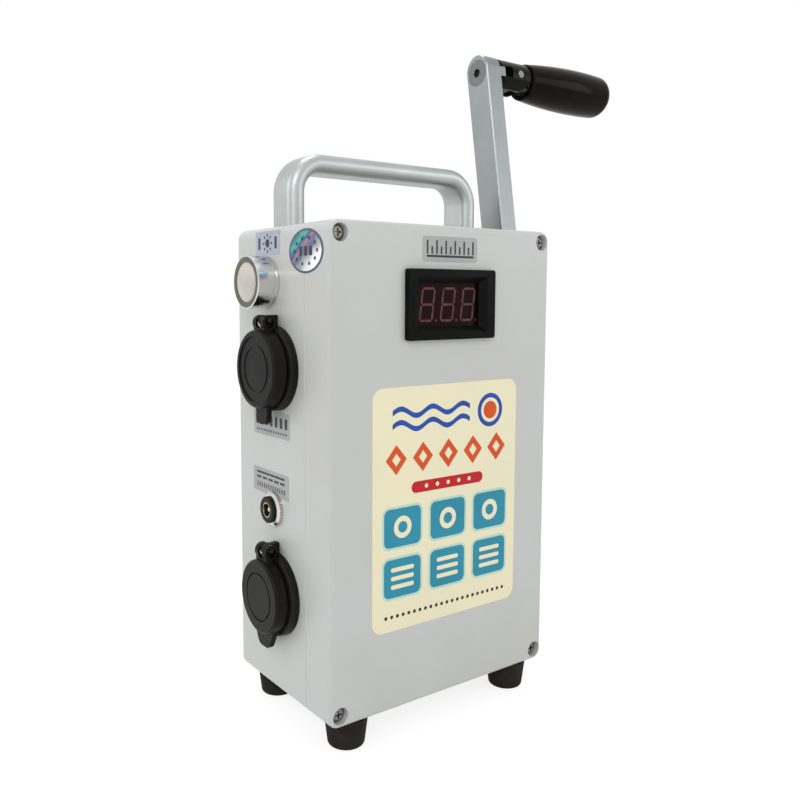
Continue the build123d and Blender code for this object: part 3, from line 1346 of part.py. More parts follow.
def generator_rotor():
    """The slotted armature with its winding heads and commutator."""
    rotor_r = MOTOR_R - MOTOR_WALL - MAGNET_T - ROTOR_GAP
    middle = ROTOR_FORWARD - MOTOR_LENGTH / 2
    front = middle + ROTOR_LENGTH / 2
    back = middle - ROTOR_LENGTH / 2
    rotor = rod(rotor_r, back, front)
    slot = Pos(rotor_r, 0, middle) * Box(2 * ROTOR_SLOT_DEEP, ROTOR_SLOT_WIDE, ROTOR_LENGTH)
    for i in range(ROTOR_SLOTS):
        rotor -= Rot(0, 0, 360 / ROTOR_SLOTS * i) * slot
    heads_r = rotor_r - ROTOR_SLOT_DEEP + WINDING_OUT
    rotor += rod(heads_r, back - WINDING_HEAD, front + WINDING_HEAD)
    rotor += rod(COMMUTATOR_R, back - WINDING_HEAD - COMMUTATOR_LENGTH, back)
    rotor -= rod(MOTOR_SHAFT_R + SEAT_FIT, -MOTOR_LENGTH, 0)
    return motor_place() * rotor


def generator_shaft():
    """The shaft from the end cap's bearing out to the pinion."""
    front = SECOND_GEAR_X + SECOND_GEAR_WIDE + PINION_EXTRA - INNER_PLATE_X
    back = -MOTOR_LENGTH - END_CAP_T + MOTOR_SHAFT_INSET
    return motor_place() * rod(MOTOR_SHAFT_R, back, front)


def generator_end_cap():
    """The moulded brush cover that closes the back of the can."""
    cap = rod(END_CAP_R, -MOTOR_LENGTH - END_CAP_T, -MOTOR_LENGTH)
    cap = fillet(cap.edges().sort_by(Axis.Z)[0], END_CAP_EDGE_R)
    lip_top = -MOTOR_LENGTH + END_CAP_LIP
    cap += rod(MOTOR_R - MOTOR_WALL - SEAT_FIT, -MOTOR_LENGTH, lip_top)
    blind = -MOTOR_LENGTH - END_CAP_T + MOTOR_SHAFT_INSET - MOTOR_SHAFT_ROOM
    return motor_place() * (cap - rod(MOTOR_SHAFT_R + RUN_FIT, blind, lip_top + 1))


# Regulator board ---------------------------------------------------------------------------

def board_spot(x, up):
    """A place on the board's face; the piece's Z points to the front."""
    return Pos(BOARD_X + x, BOARD_Y - BOARD_T, BOARD_Z + up) * ON_FRONT


def regulator_board():
    """The board that turns the generator's output into 5 V and 12 V."""
    half_w = BOARD_W / 2
    half_h = BOARD_H / 2
    x_span = (BOARD_X - half_w, BOARD_X + half_w)
    z_span = (BOARD_Z - half_h, BOARD_Z + half_h)
    board = span_box(*x_span, BOARD_Y - BOARD_T, BOARD_Y, *z_span)
    for place in board_places(BOARD_Y):
        board -= place * ON_BACK * rod(BOARD_SCREW_R + SCREW_CLEARANCE, -BOARD_T - 1, 1)
    return board


def regulator_parts():
    """The capacitors, the choke coil and the heat sink on the board."""
    can = fillet(rod(CAN_R, 0, CAN_H).edges().sort_by(Axis.Z)[-1], CAN_EDGE_R)
    cans = [board_spot(-BOARD_W / 4 + CAN_PITCH * i, -BOARD_H / 5) * can for i in range(3)]
    coil = board_spot(BOARD_W / 4, BOARD_H / 5) * tube(COIL_R, COIL_HOLE_R, 0, COIL_H)
    sink = Pos(0, 0, HEATSINK_T / 2) * Box(HEATSINK_W, HEATSINK_H, HEATSINK_T)
    slot = Pos(0, 0, HEATSINK_T / 2 + HEATSINK_BASE_T) * Box(HEATSINK_SLOT_WIDE, HEATSINK_H, HEATSINK_T)
    for i in (-1, 0, 1):
        sink -= Pos(HEATSINK_SLOT_PITCH * i, 0, 0) * slot
    return group(*cans, coil, board_spot(-BOARD_W / 6, BOARD_H / 5) * sink)


def board_screws():
    """The four screws that hold the board on its standoffs."""
    screw = pan_screw(BOARD_SCREW_R, BOARD_SCREW_LENGTH, BOARD_HEAD_R, BOARD_HEAD_H)
    return group(*[place * ON_FRONT * screw for place in board_places(BOARD_Y - BOARD_T)])


PIECES = {
    "rear_case": rear_case,
    "front_cover": front_cover,
    "cover_seal": cover_seal,
    "cover_screws": cover_screws,
    "rubber_feet": rubber_feet,
    "foot_screws": foot_screws,
    "carry_handle": carry_handle,
    "handle_washers": handle_washers,
    "handle_screws": handle_screws,
    "lamp_housing": lamp_housing,
    "lamp_led_board": lamp_led_board,
    "lamp_lens": lamp_lens,
    "lamp_nut": lamp_nut,
    "usb_socket": usb_socket,
    "usb_ports": usb_ports,
    "usb_socket_nut": lambda: socket_nut(USB_Z),
    "usb_cap": usb_cap,
    "power_socket": power_socket,
    "power_contacts": power_contacts,
    "power_socket_nut": lambda: socket_nut(POWER_Z),
    "power_cap": power_cap,
    "cap_hinge_pins": cap_hinge_pins,
    "dc_jack": dc_jack,
    "dc_jack_contacts": dc_jack_contacts,
    "dc_jack_nut": dc_jack_nut,
    "meter_bezel": meter_bezel,
    "meter_window": meter_window,
    "meter_display": meter_display,
    "crank_arm": crank_arm,
    "crank_shaft": crank_shaft,
    "crank_washer": crank_washer,
    "crank_screw": crank_screw,
    "shaft_collar": shaft_collar,
    "grip_screw": grip_screw,
    "grip_fork": grip_fork,
    "fold_pin": fold_pin,
    "grip_spindle": grip_spindle,
    "grip_clip": grip_clip,
    "grip_sleeve": grip_sleeve,
    "drive_gear": drive_gear,
    "drive_gear_pin": drive_gear_pin,
    "intermediate_gear": intermediate_gear,
    "intermediate_pinion": intermediate_pinion,
    "intermediate_shaft": intermediate_shaft,
    "generator_pinion": generator_pinion,
    "gearbox_inner_plate": gearbox_inner_plate,
    "gearbox_outer_plate": gearbox_outer_plate,
    "gearbox_spacers": gearbox_spacers,
    "gearbox_screws": gearbox_screws,
    "gearbox_bushes": gearbox_bushes,
    "generator_can": generator_can,
    "generator_screws": generator_screws,
    "generator_magnets": generator_magnets,
    "generator_rotor": generator_rotor,
    "generator_shaft": generator_shaft,
    "generator_end_cap": generator_end_cap,
    "regulator_board": regulator_board,
    "regulator_parts": regulator_parts,
    "board_screws": board_screws,
}

os.makedirs("parts", exist_ok=True)
for node, make in PIECES.items():
    export_step(make(), f"parts/{node}.step")
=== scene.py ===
from math import cos, pi, radians, sin, tan

import bmesh
import bpy
from mathutils import Matrix, Vector


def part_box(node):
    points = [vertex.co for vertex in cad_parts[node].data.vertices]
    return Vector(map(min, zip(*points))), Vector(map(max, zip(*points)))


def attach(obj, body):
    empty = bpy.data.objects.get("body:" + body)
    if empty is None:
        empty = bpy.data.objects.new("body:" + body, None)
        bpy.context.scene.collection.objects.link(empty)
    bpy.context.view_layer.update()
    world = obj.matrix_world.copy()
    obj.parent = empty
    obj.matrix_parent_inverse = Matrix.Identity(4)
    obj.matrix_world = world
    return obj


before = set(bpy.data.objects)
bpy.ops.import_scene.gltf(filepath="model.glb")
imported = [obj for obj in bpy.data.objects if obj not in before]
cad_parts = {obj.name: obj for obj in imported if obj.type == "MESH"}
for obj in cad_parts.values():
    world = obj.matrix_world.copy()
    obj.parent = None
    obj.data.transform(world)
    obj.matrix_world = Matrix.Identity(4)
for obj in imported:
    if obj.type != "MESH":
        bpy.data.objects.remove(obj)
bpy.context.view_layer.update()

# Studio ------------------------------------------------------------------------------------
# The generator stands on a pale floor under soft studio light. The camera stands low on the
# left, at the photograph's angle, and a near-white floor meets a white world with no horizon.

MM = 0.001
CAMERA_PLACE = (-230.3, -294.5, 183.1)
CAMERA_YAW = 34.84
CAMERA_PITCH = 5.06
CAMERA_LENS = 36.9
CAMERA_SENSOR = 36.0
CAMERA_SHIFT = (0.0643, -0.038)
CAMERA_NEAR = 0.01
FLOOR_HALF = 3.0
FLOOR_LIT_GREY = 0.8
FLOOR_SHADOW_GREY = 0.3
FLOOR_GLOW = 0.81
WORLD_LEVEL = 0.68
# Each softbox has a name, a place and a size in metres, and a power in watts.
SOFTBOXES = (
    ("key", (-0.85, -0.85, 0.95), (0.4, 0.4), 3.9),
    ("strip", (-0.95, -0.72, 0.22), (0.09, 0.7), 0.8),
    ("fill", (0.9, -1.0, 0.55), (0.6, 0.6), 2.2),
    ("top", (0.05, 0.25, 1.25), (0.35, 0.35), 3.4),
    ("back", (-1.0, 0.6, 0.6), (0.6, 0.6), 2.0),
)
AIM = Vector((0.0, 0.0, 0.12))


def linear(colour):
    """The linear RGBA of an sRGB hex colour."""
    channels = [int(colour[i:i + 2], 16) / 255 for i in (1, 3, 5)]
    return [c / 12.92 if c <= 0.04045 else ((c + 0.055) / 1.055) ** 2.4 for c in channels] + [1.0]


def add(tree, kind, links=None, **settings):
    """A node with its settings; links gives each named socket a value or another socket."""
    node = tree.nodes.new(kind)
    for name, value in settings.items():
        setattr(node, name, value)
    for socket, source in (links or {}).items():
        if isinstance(source, bpy.types.NodeSocket):
            tree.links.new(source, node.inputs[socket])
        else:
            node.inputs[socket].default_value = source
    return node


def seen_rays(tree):
    """One for the rays that see the background: camera, glossy and transmission rays."""
    ray = add(tree, "ShaderNodeLightPath")
    seen = add(tree, "ShaderNodeMath",
               {0: ray.outputs["Is Camera Ray"], 1: ray.outputs["Is Glossy Ray"]}, operation="ADD")
    seen = add(tree, "ShaderNodeMath", {0: seen.outputs[0], 1: ray.outputs["Is Transmission Ray"]},
               operation="ADD", use_clamp=True)
    return seen.outputs[0]


camera = bpy.data.objects.new("camera", bpy.data.cameras.new("camera"))
bpy.context.scene.collection.objects.link(camera)
camera.location = Vector(CAMERA_PLACE) * MM
camera.rotation_euler = (radians(90 - CAMERA_PITCH), 0, radians(-CAMERA_YAW))
camera.data.lens = CAMERA_LENS
camera.data.sensor_width = CAMERA_SENSOR
camera.data.shift_x, camera.data.shift_y = CAMERA_SHIFT
camera.data.clip_start = CAMERA_NEAR
bpy.context.scene.camera = camera
bpy.context.scene.view_settings.view_transform = "Standard"

for name, place, size, power in SOFTBOXES:
    light = bpy.data.lights.new(name, "AREA")
    light.shape = "RECTANGLE"
    light.size, light.size_y = size
    light.energy = power
    lamp = bpy.data.objects.new(name, light)
    lamp.location = place
    lamp.rotation_euler = (AIM - Vector(place)).to_track_quat("-Z", "Y").to_euler()
    bpy.context.scene.collection.objects.link(lamp)

world = bpy.data.worlds.new("studio")
bpy.context.scene.world = world
world.use_nodes = True
sky = world.node_tree
sky.nodes.clear()
level = add(sky, "ShaderNodeMapRange",
            {"Value": seen_rays(sky), "To Min": WORLD_LEVEL, "To Max": 1.0})
backdrop = add(sky, "ShaderNodeBackground", {"Color": (1, 1, 1, 1), "Strength": level.outputs[0]})
add(sky, "ShaderNodeOutputWorld", {"Surface": backdrop.outputs[0]})

# Matt paper: a pale grey to the light that falls on the object, and nearly white to the eye,
# where it still takes a soft shadow.
paper = bpy.data.materials.new("matt_white_floor")
paper.use_nodes = True
tree = paper.node_tree
tree.nodes.clear()
matt = add(tree, "ShaderNodeBsdfDiffuse", {"Color": (FLOOR_LIT_GREY,) * 3 + (1,)})
shade = add(tree, "ShaderNodeBsdfDiffuse", {"Color": (FLOOR_SHADOW_GREY,) * 3 + (1,)})
glow = add(tree, "ShaderNodeEmission", {"Strength": FLOOR_GLOW})
white = add(tree, "ShaderNodeAddShader", {0: shade.outputs[0], 1: glow.outputs[0]})
floor_mix = add(tree, "ShaderNodeMixShader",
                {0: seen_rays(tree), 1: matt.outputs[0], 2: white.outputs[0]})
add(tree, "ShaderNodeOutputMaterial", {"Surface": floor_mix.outputs[0]})

floor_mesh = bpy.data.meshes.new("floor")
corners = [(x, y, 0) for x, y in ((-1, -1), (1, -1), (1, 1), (-1, 1))]
floor_mesh.from_pydata([Vector(c) * FLOOR_HALF for c in corners], [], [(0, 1, 2, 3)])
floor = bpy.data.objects.new("floor", floor_mesh)
floor.data.materials.append(paper)
bpy.context.scene.collection.objects.link(floor)

# Case --------------------------------------------------------------------------------------
# A light grey ABS shell and cover, injection moulded, with a fine spark-eroded skin that
# softens every highlight. Four screws in the corner recesses press the cover on its seal.

CASE_GREY = "#C3C6C5"
CASE_GREY_WARM = "#C1C2BD"
SKIN_GRAIN_MM = 0.45
SKIN_DEPTH_MM = 0.008
TONE_PATCH_MM = 45.0
PATCH_EDGES = (0.35, 0.65)
GRAIN_ROUGHENS = 0.06
GRAIN_RELIEF = 0.6


def begin_material(name):
    """An empty material: its tree, Principled shader and Object coordinates."""
    material = bpy.data.materials.new(name)
    material.use_nodes = True
    tree = material.node_tree
    tree.nodes.clear()
    shader = add(tree, "ShaderNodeBsdfPrincipled")
    add(tree, "ShaderNodeOutputMaterial", {"Surface": shader.outputs[0]})
    place = add(tree, "ShaderNodeTexCoord").outputs["Object"]
    return material, tree, shader, place


def two_tones(tree, source, first, second, edges):
    """The colour that turns from the first to the second as the source crosses the edges."""
    tone = add(tree, "ShaderNodeValToRGB", {"Fac": source})
    for i, colour in enumerate((first, second)):
        tone.color_ramp.elements[i].position = edges[i]
        tone.color_ramp.elements[i].color = colour
    return tone.outputs["Color"]


def lay_finish(tree, shader, colour, roughness, relief, sockets):
    """Joins colour, roughness and relief to the shader, and sets its other sockets."""
    bump = add(tree, "ShaderNodeBump", relief)
    tree.links.new(colour, shader.inputs["Base Color"])
    tree.links.new(roughness, shader.inputs["Roughness"])
    tree.links.new(bump.outputs["Normal"], shader.inputs["Normal"])
    for socket, value in sockets.items():
        shader.inputs[socket.replace("_", " ")].default_value = value


def moulded(name, colour, other, roughness, grain_mm, depth_mm, patch_mm=20.0, **sockets):
    """A moulded surface: slow patches between two colours, and a fine grain in the relief."""
    material, tree, shader, place = begin_material(name)
    patch = add(tree, "ShaderNodeTexNoise",
                {"Vector": place, "Scale": 1 / (patch_mm * MM), "Detail": 3.0})
    tone = two_tones(tree, patch.outputs["Fac"], linear(colour), linear(other), PATCH_EDGES)
    grain = add(tree, "ShaderNodeTexNoise",
                {"Vector": place, "Scale": 1 / (grain_mm * MM), "Detail": 2.0})
    rough = add(tree, "ShaderNodeMapRange",
                {"Value": grain.outputs["Fac"], "To Min": roughness - GRAIN_ROUGHENS,
                 "To Max": roughness + GRAIN_ROUGHENS})
    relief = {"Height": grain.outputs["Fac"], "Strength": GRAIN_RELIEF, "Distance": depth_mm * MM}
    lay_finish(tree, shader, tone, rough.outputs["Result"], relief, sockets)
    return material


def dress(material, *nodes):
    """Gives CAD nodes their material."""
    for node in nodes:
        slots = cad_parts[node].data.materials
        if not slots:
            slots.append(material)
        for i in range(len(slots)):
            slots[i] = material


# Injection-moulded ABS: pale grey, satin, a trace warmer in patches, with a fine spark texture.
case_abs = moulded("light_grey_moulded_abs", CASE_GREY, CASE_GREY_WARM, roughness=0.34,
                   grain_mm=SKIN_GRAIN_MM, depth_mm=SKIN_DEPTH_MM, patch_mm=TONE_PATCH_MM)
dress(case_abs, "rear_case", "front_cover")

# Extruded silicone cord: dull black with a dusty bloom.
seal_silicone = moulded("black_silicone_cord", "#242424", "#303030",
                        roughness=0.7, grain_mm=0.6, depth_mm=0.02)
dress(seal_silicone, "cover_seal")

METAL_BLOTCH_MM = 12.0
METAL_BLOTCH_EDGES = (0.3, 0.7)
METAL_BLOTCH_TONE = 0.92
LINES_SMOOTHEN = 0.07
LINES_ROUGHEN = 0.09
LINES_RELIEF = 0.5


def worked_metal(name, colour, roughness, line_mm, stretch, depth_mm, turn=(0, 0, 0)):
    """A worked metal: lines of one spacing, drawn out along an axis by the stretch given."""
    material, tree, shader, place = begin_material(name)
    lined = add(tree, "ShaderNodeMapping", {"Vector": place, "Scale": stretch, "Rotation": turn},
                vector_type="TEXTURE")
    lines = add(tree, "ShaderNodeTexNoise",
                {"Vector": lined.outputs[0], "Scale": 1 / (line_mm * MM), "Detail": 4.0})
    blotch = add(tree, "ShaderNodeTexNoise",
                 {"Vector": place, "Scale": 1 / (METAL_BLOTCH_MM * MM), "Detail": 2.0})
    rough = add(tree, "ShaderNodeMapRange",
                {"Value": lines.outputs["Fac"], "To Min": roughness - LINES_SMOOTHEN,
                 "To Max": roughness + LINES_ROUGHEN})
    bright = linear(colour)
    dull = [c * METAL_BLOTCH_TONE for c in bright[:3]] + [1]
    tone = two_tones(tree, blotch.outputs["Fac"], dull, bright, METAL_BLOTCH_EDGES)
    relief = {"Height": lines.outputs["Fac"], "Strength": LINES_RELIEF, "Distance": depth_mm * MM}
    lay_finish(tree, shader, tone, rough.outputs["Result"], relief, {"Metallic": 1.0})
    return material


# Zinc-plated steel: a cool bright skin with the faint drag lines of heading and rolling.
zinc_steel = worked_metal("zinc_plated_steel", "#85827B",
                          roughness=0.34, line_mm=0.5, stretch=(1, 1, 1), depth_mm=0.01)
dress(zinc_steel, "cover_screws")

# Feet --------------------------------------------------------------------------------------
# Four screw-on feet of black rubber, compression moulded, tapering to a rounded tread. The
# rubber is dull, with a grey bloom where it has been handled.

foot_rubber = moulded("black_moulded_rubber", "#211D19", "#2B2621", roughness=0.78, grain_mm=0.7,
                      depth_mm=0.03, patch_mm=6.0, Specular_IOR_Level=0.12)
dress(foot_rubber, "rubber_feet")
dress(zinc_steel, "foot_screws")

# Carry handle ------------------------------------------------------------------------------
# An aluminium bar of flat-oval section, bent, bead blasted and clear anodised. The blasting
# leaves a fine even frost, so highlights are broad and soft.

anodised_aluminium = worked_metal("satin_anodised_aluminium", "#B3B8B7", roughness=0.42,
                                  line_mm=0.35, stretch=(1, 1, 1), depth_mm=0.012)
dress(anodised_aluminium, "carry_handle")
dress(zinc_steel, "handle_screws", "handle_washers")

# Lamp --------------------------------------------------------------------------------------
# A turned barrel of polished aluminium with a groove near the wall and a frosted ivory lens. The
# rim's outer end is painted olive: a painted reflection of dark surroundings in its polished
# chamfer. The lathe leaves fine rings round the barrel.

LEFT_WALL = -60.0
LAMP_RIM_FROM_MM = 9.75
LAMP_RIM_RADIUS_MM = 10.55
LAMP_RING_MM = 0.25
LAMP_RING_DEPTH_MM = 0.01
LAMP_RING_RELIEF = 0.4
LAMP_POLISH = (0.12, 0.24)
POLISHED = "#DAD9D8"
# Painted reflection: the olive that stands for dark surroundings mirrored in the rim's chamfer.
RIM_REFLECTION_OLIVE = "#66685A"
# A colour Mix node's two colours and its result, by their places among its sockets.
MIX_FIRST, MIX_SECOND, MIX_RESULT = 6, 7, 2

lamp_low, lamp_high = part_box("lamp_housing")
lamp_centre = (lamp_low + lamp_high) / 2

lamp_metal, tree, shader, place = begin_material("polished_turned_aluminium")
split = add(tree, "ShaderNodeSeparateXYZ", {0: place})
rings = add(tree, "ShaderNodeTexNoise",
            {"W": split.outputs["X"], "Scale": 1 / (LAMP_RING_MM * MM), "Detail": 3.0},
            noise_dimensions="1D")
# The painted reflection's mask: past the rim's start along the axis and within its radius, olive
# is painted over the polished colour.
outward = add(tree, "ShaderNodeMath",
              {0: split.outputs["X"], 1: (LEFT_WALL - LAMP_RIM_FROM_MM) * MM},
              operation="LESS_THAN")
axis = add(tree, "ShaderNodeCombineXYZ",
           {"X": split.outputs["X"], "Y": lamp_centre.y, "Z": lamp_centre.z})
reach = add(tree, "ShaderNodeVectorMath", {0: place, 1: axis.outputs[0]}, operation="DISTANCE")
inward = add(tree, "ShaderNodeMath", {0: reach.outputs["Value"], 1: LAMP_RIM_RADIUS_MM * MM},
             operation="LESS_THAN")
rim_reflection_mask = add(tree, "ShaderNodeMath", {0: outward.outputs[0], 1: inward.outputs[0]},
            operation="MULTIPLY")
tone = add(tree, "ShaderNodeMix", {"Factor": rim_reflection_mask.outputs[0], MIX_FIRST: linear(POLISHED),
                                   MIX_SECOND: linear(RIM_REFLECTION_OLIVE)}, data_type="RGBA")
rough = add(tree, "ShaderNodeMapRange",
            {"Value": rings.outputs["Fac"], "To Min": LAMP_POLISH[0], "To Max": LAMP_POLISH[1]})
relief = {"Height": rings.outputs["Fac"], "Strength": LAMP_RING_RELIEF,
          "Distance": LAMP_RING_DEPTH_MM * MM}
lay_finish(tree, shader, tone.outputs[MIX_RESULT], rough.outputs["Result"], relief,
           {"Metallic": 1.0})
dress(lamp_metal, "lamp_housing")

# Frosted polycarbonate: milky ivory, with light spreading under a lightly etched skin.
lens_polycarbonate = moulded("frosted_ivory_polycarbonate", "#CBC6BC", "#C0BBB2", roughness=0.34,
                             grain_mm=0.5, depth_mm=0.01, patch_mm=6.0,
                             Subsurface_Weight=0.35, Subsurface_Scale=0.003)
dress(lens_polycarbonate, "lamp_lens")

# Nickel plate: warm bright metal, smooth, with faint rings from the lathe below it.
nickel_plate = worked_metal("nickel_plated_brass", "#D2CEC6",
                            roughness=0.2, line_mm=0.3, stretch=(1, 30, 30), depth_mm=0.006)
dress(nickel_plate, "lamp_nut")

# Glass-fibre board under solder mask: satin green, slightly mottled.
board_green = moulded("green_solder_mask", "#2E5B3B", "#284F35",
                      roughness=0.4, grain_mm=0.8, depth_mm=0.01)
dress(board_green, "lamp_led_board")

# USB socket and its cap --------------------------------------------------------------------
# A black nylon socket clamped through the wall, with two plated port shells in its face. Its
# cap is moulded in a softer black rubber and hangs by two loops on a steel wire pin.

# Moulded nylon: near black and satin, with a fine even grain.
socket_nylon = moulded("black_moulded_nylon", "#151413", "#1D1C1A", roughness=0.42, grain_mm=0.6,
                       depth_mm=0.012, Specular_IOR_Level=0.12)
dress(socket_nylon, "usb_socket", "usb_socket_nut")
dress(nickel_plate, "usb_ports")

# Thermoplastic rubber: near black, with a soft satin sheen over a fine grain.
cap_rubber = moulded("soft_black_thermoplastic_rubber", "#141312", "#1D1B1A", roughness=0.36,
                     grain_mm=0.5, depth_mm=0.015, patch_mm=8.0, Specular_IOR_Level=0.09)
dress(cap_rubber, "usb_cap")

# Blackened steel: the hinge pins, dark and faintly oily.
black_steel = worked_metal("blackened_steel_wire", "#3A3836",
                           roughness=0.4, line_mm=0.3, stretch=(1, 1, 1), depth_mm=0.006)
dress(black_steel, "cap_hinge_pins")

# 12 V socket -------------------------------------------------------------------------------
# The same kind of socket and cap, with a rolled and plated liner inside, a sprung button at the
# bottom and two blades behind.

dress(socket_nylon, "power_socket", "power_socket_nut")
dress(cap_rubber, "power_cap")
dress(nickel_plate, "power_contacts")

# DC jack -----------------------------------------------------------------------------------
# A small threaded jack in black nylon with a plated sleeve and centre pin, held on the wall
# by a nickel-plated brass nut.

dress(socket_nylon, "dc_jack")
dress(nickel_plate, "dc_jack_nut")

# Flashed brass: a thin warm plate over the turned sleeve and pin.
contact_brass = worked_metal("flashed_brass_contact", "#CFC4AA",
                             roughness=0.22, line_mm=0.3, stretch=(1, 30, 30), depth_mm=0.006)
dress(contact_brass, "dc_jack_contacts")

# Volt meter --------------------------------------------------------------------------------
# A snap-in panel meter: a black ABS bezel with an inward bevel, a dark red acrylic filter and
# three seven-segment digits, unlit, which show as dull pink-grey bars through the filter.

DIGIT_COUNT = 3
DIGIT_HIGH = 14.2
DIGIT_WIDE = 7.4
DIGIT_PITCH = 11.2
DIGIT_SLANT = 7.0
DIGIT_SHIFT = 0.3
SEGMENT_WIDE = 0.95
SEGMENT_GAP = 0.2
SEGMENT_THICK = 0.03
POINT_R = 0.5
POINT_OUT = 1.5

# Gloss-moulded ABS: an even black that mirrors softly.
bezel_abs = moulded("black_moulded_abs", "#090A0A", "#0E0E0F", roughness=0.24, grain_mm=0.5,
                    depth_mm=0.006, Specular_IOR_Level=0.06)
dress(bezel_abs, "meter_bezel")

# Tinted acrylic: polished, so dark that the red shows only as a warm black.
filter_acrylic = moulded("dark_red_acrylic", "#1A080A", "#200B0D", roughness=0.12, grain_mm=3.0,
                         depth_mm=0.001, Specular_IOR_Level=0.06)
dress(filter_acrylic, "meter_window")

# Epoxy display block: dull and dark, with slightly uneven potting.
display_epoxy = moulded("potted_display_block", "#2A2022", "#332629",
                        roughness=0.55, grain_mm=0.6, depth_mm=0.01)
dress(display_epoxy, "meter_display")


def prism_mesh(name, outlines, thickness):
    """A mesh of flat plates: each outline in XY is raised from zero by the thickness."""
    work = bmesh.new()
    for outline in outlines:
        low = [work.verts.new((u * MM, v * MM, 0)) for u, v in outline]
        high = [work.verts.new((u * MM, v * MM, thickness * MM)) for u, v in outline]
        work.faces.new(low)
        work.faces.new(high)
        for i in range(len(outline)):
            j = (i + 1) % len(outline)
            work.faces.new((low[i], low[j], high[j], high[i]))
    bmesh.ops.recalc_face_normals(work, faces=work.faces)
    mesh = bpy.data.meshes.new(name)
    work.to_mesh(mesh)
    work.free()
    return mesh


def show(name, mesh, material, body):
    """Puts a finished mesh in the scene, on its body and with its material."""
    piece = bpy.data.objects.new(name, mesh)
    bpy.context.scene.collection.objects.link(piece)
    mesh.materials.clear()
    mesh.materials.append(material)
    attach(piece, body)


def disc(u, v, radius, steps=32):
    """A round outline."""
    turns = [2 * pi * i / steps for i in range(steps)]
    return [(u + radius * cos(a), v + radius * sin(a)) for a in turns]


def segment(u0, v0, u1, v1):
    """One bar of a digit: a long hexagon between two corners of the figure, slanted."""
    along = Vector((u1 - u0, v1 - v0)).normalized()
    across = Vector((-along.y, along.x)) * SEGMENT_WIDE / 2
    start = Vector((u0, v0)) + along * SEGMENT_GAP
    end = Vector((u1, v1)) - along * SEGMENT_GAP
    nib = along * SEGMENT_WIDE / 2
    lower = (start, start + nib - across, end - nib - across)
    upper = (end, end - nib + across, start + nib + across)
    return [(p.x + p.y * tan(radians(DIGIT_SLANT)), p.y) for p in lower + upper]


def digit_outlines():
    """The seven bars and the point of one digit, about its own centre."""
    half_u = DIGIT_WIDE / 2 - SEGMENT_WIDE / 2
    half_v = DIGIT_HIGH / 2 - SEGMENT_WIDE / 2
    bars = [segment(-half_u, v, half_u, v) for v in (-half_v, 0, half_v)]
    for u in (-half_u, half_u):
        bars += [segment(u, -half_v, u, 0), segment(u, 0, u, half_v)]
    return bars + [disc(half_u + POINT_OUT, -half_v, POINT_R, steps=16)]


# One row of like pieces: its first place, its step and its count are the tree's own inputs.
ROW_INPUTS = (("Piece", "NodeSocketObject"), ("Start", "NodeSocketVector"),
              ("Step", "NodeSocketVector"), ("Count", "NodeSocketInt"),
              ("Finish", "NodeSocketMaterial"))
row_tree = bpy.data.node_groups.new("row_of_like_pieces", "GeometryNodeTree")
for label, kind in ROW_INPUTS:
    row_tree.interface.new_socket(label, in_out="INPUT", socket_type=kind)
row_tree.interface.new_socket("Geometry", in_out="OUTPUT", socket_type="NodeSocketGeometry")
given = add(row_tree, "NodeGroupInput")
line = add(row_tree, "GeometryNodeMeshLine",
           {"Count": given.outputs["Count"], "Start Location": given.outputs["Start"],
            "Offset": given.outputs["Step"]}, mode="OFFSET")
source = add(row_tree, "GeometryNodeObjectInfo", {"Object": given.outputs["Piece"]})
copies = add(row_tree, "GeometryNodeInstanceOnPoints",
             {"Points": line.outputs[0], "Instance": source.outputs["Geometry"]})
real = add(row_tree, "GeometryNodeRealizeInstances", {0: copies.outputs[0]})
painted = add(row_tree, "GeometryNodeSetMaterial",
              {"Geometry": real.outputs[0], "Material": given.outputs["Finish"]})
add(row_tree, "NodeGroupOutput", {0: painted.outputs[0]})


def row_mesh(name, outlines, thickness, start, pitch, count, material):
    """The plain mesh of a row of like plates along U, baked from the row tree."""
    piece = bpy.data.objects.new(name + "_one", prism_mesh(name + "_one", outlines, thickness))
    carrier = bpy.data.objects.new(name + "_row", bpy.data.meshes.new(name + "_row"))
    for each in (piece, carrier):
        bpy.context.scene.collection.objects.link(each)
    modifier = carrier.modifiers.new("row", "NODES")
    modifier.node_group = row_tree
    values = {"Piece": piece, "Start": [s * MM for s in (*start, 0)],
              "Step": [s * MM for s in (pitch, 0, 0)], "Count": count, "Finish": material}
    for socket in row_tree.interface.items_tree:
        if socket.in_out == "INPUT":
            modifier[socket.identifier] = values[socket.name]
    shown = carrier.evaluated_get(bpy.context.evaluated_depsgraph_get())
    mesh = bpy.data.meshes.new_from_object(shown)
    for each in (carrier, piece):
        bpy.data.objects.remove(each)
    mesh.name = name
    return mesh


def on_front(mesh, y_mm):
    """Stands a flat mesh up against the front wall, facing out."""
    turn = Matrix.Rotation(radians(90), 4, "X")
    mesh.transform(Matrix.Translation((0, y_mm * MM, 0)) @ turn)
    return mesh


def on_left(mesh, x_mm):
    """Stands a flat mesh up against the left wall, facing out; its U runs to the back."""
    turn = Matrix(((0, 0, -1, x_mm * MM), (1, 0, 0, 0), (0, 1, 0, 0), (0, 0, 0, 1)))
    mesh.transform(turn)
    mesh.flip_normals()
    return mesh


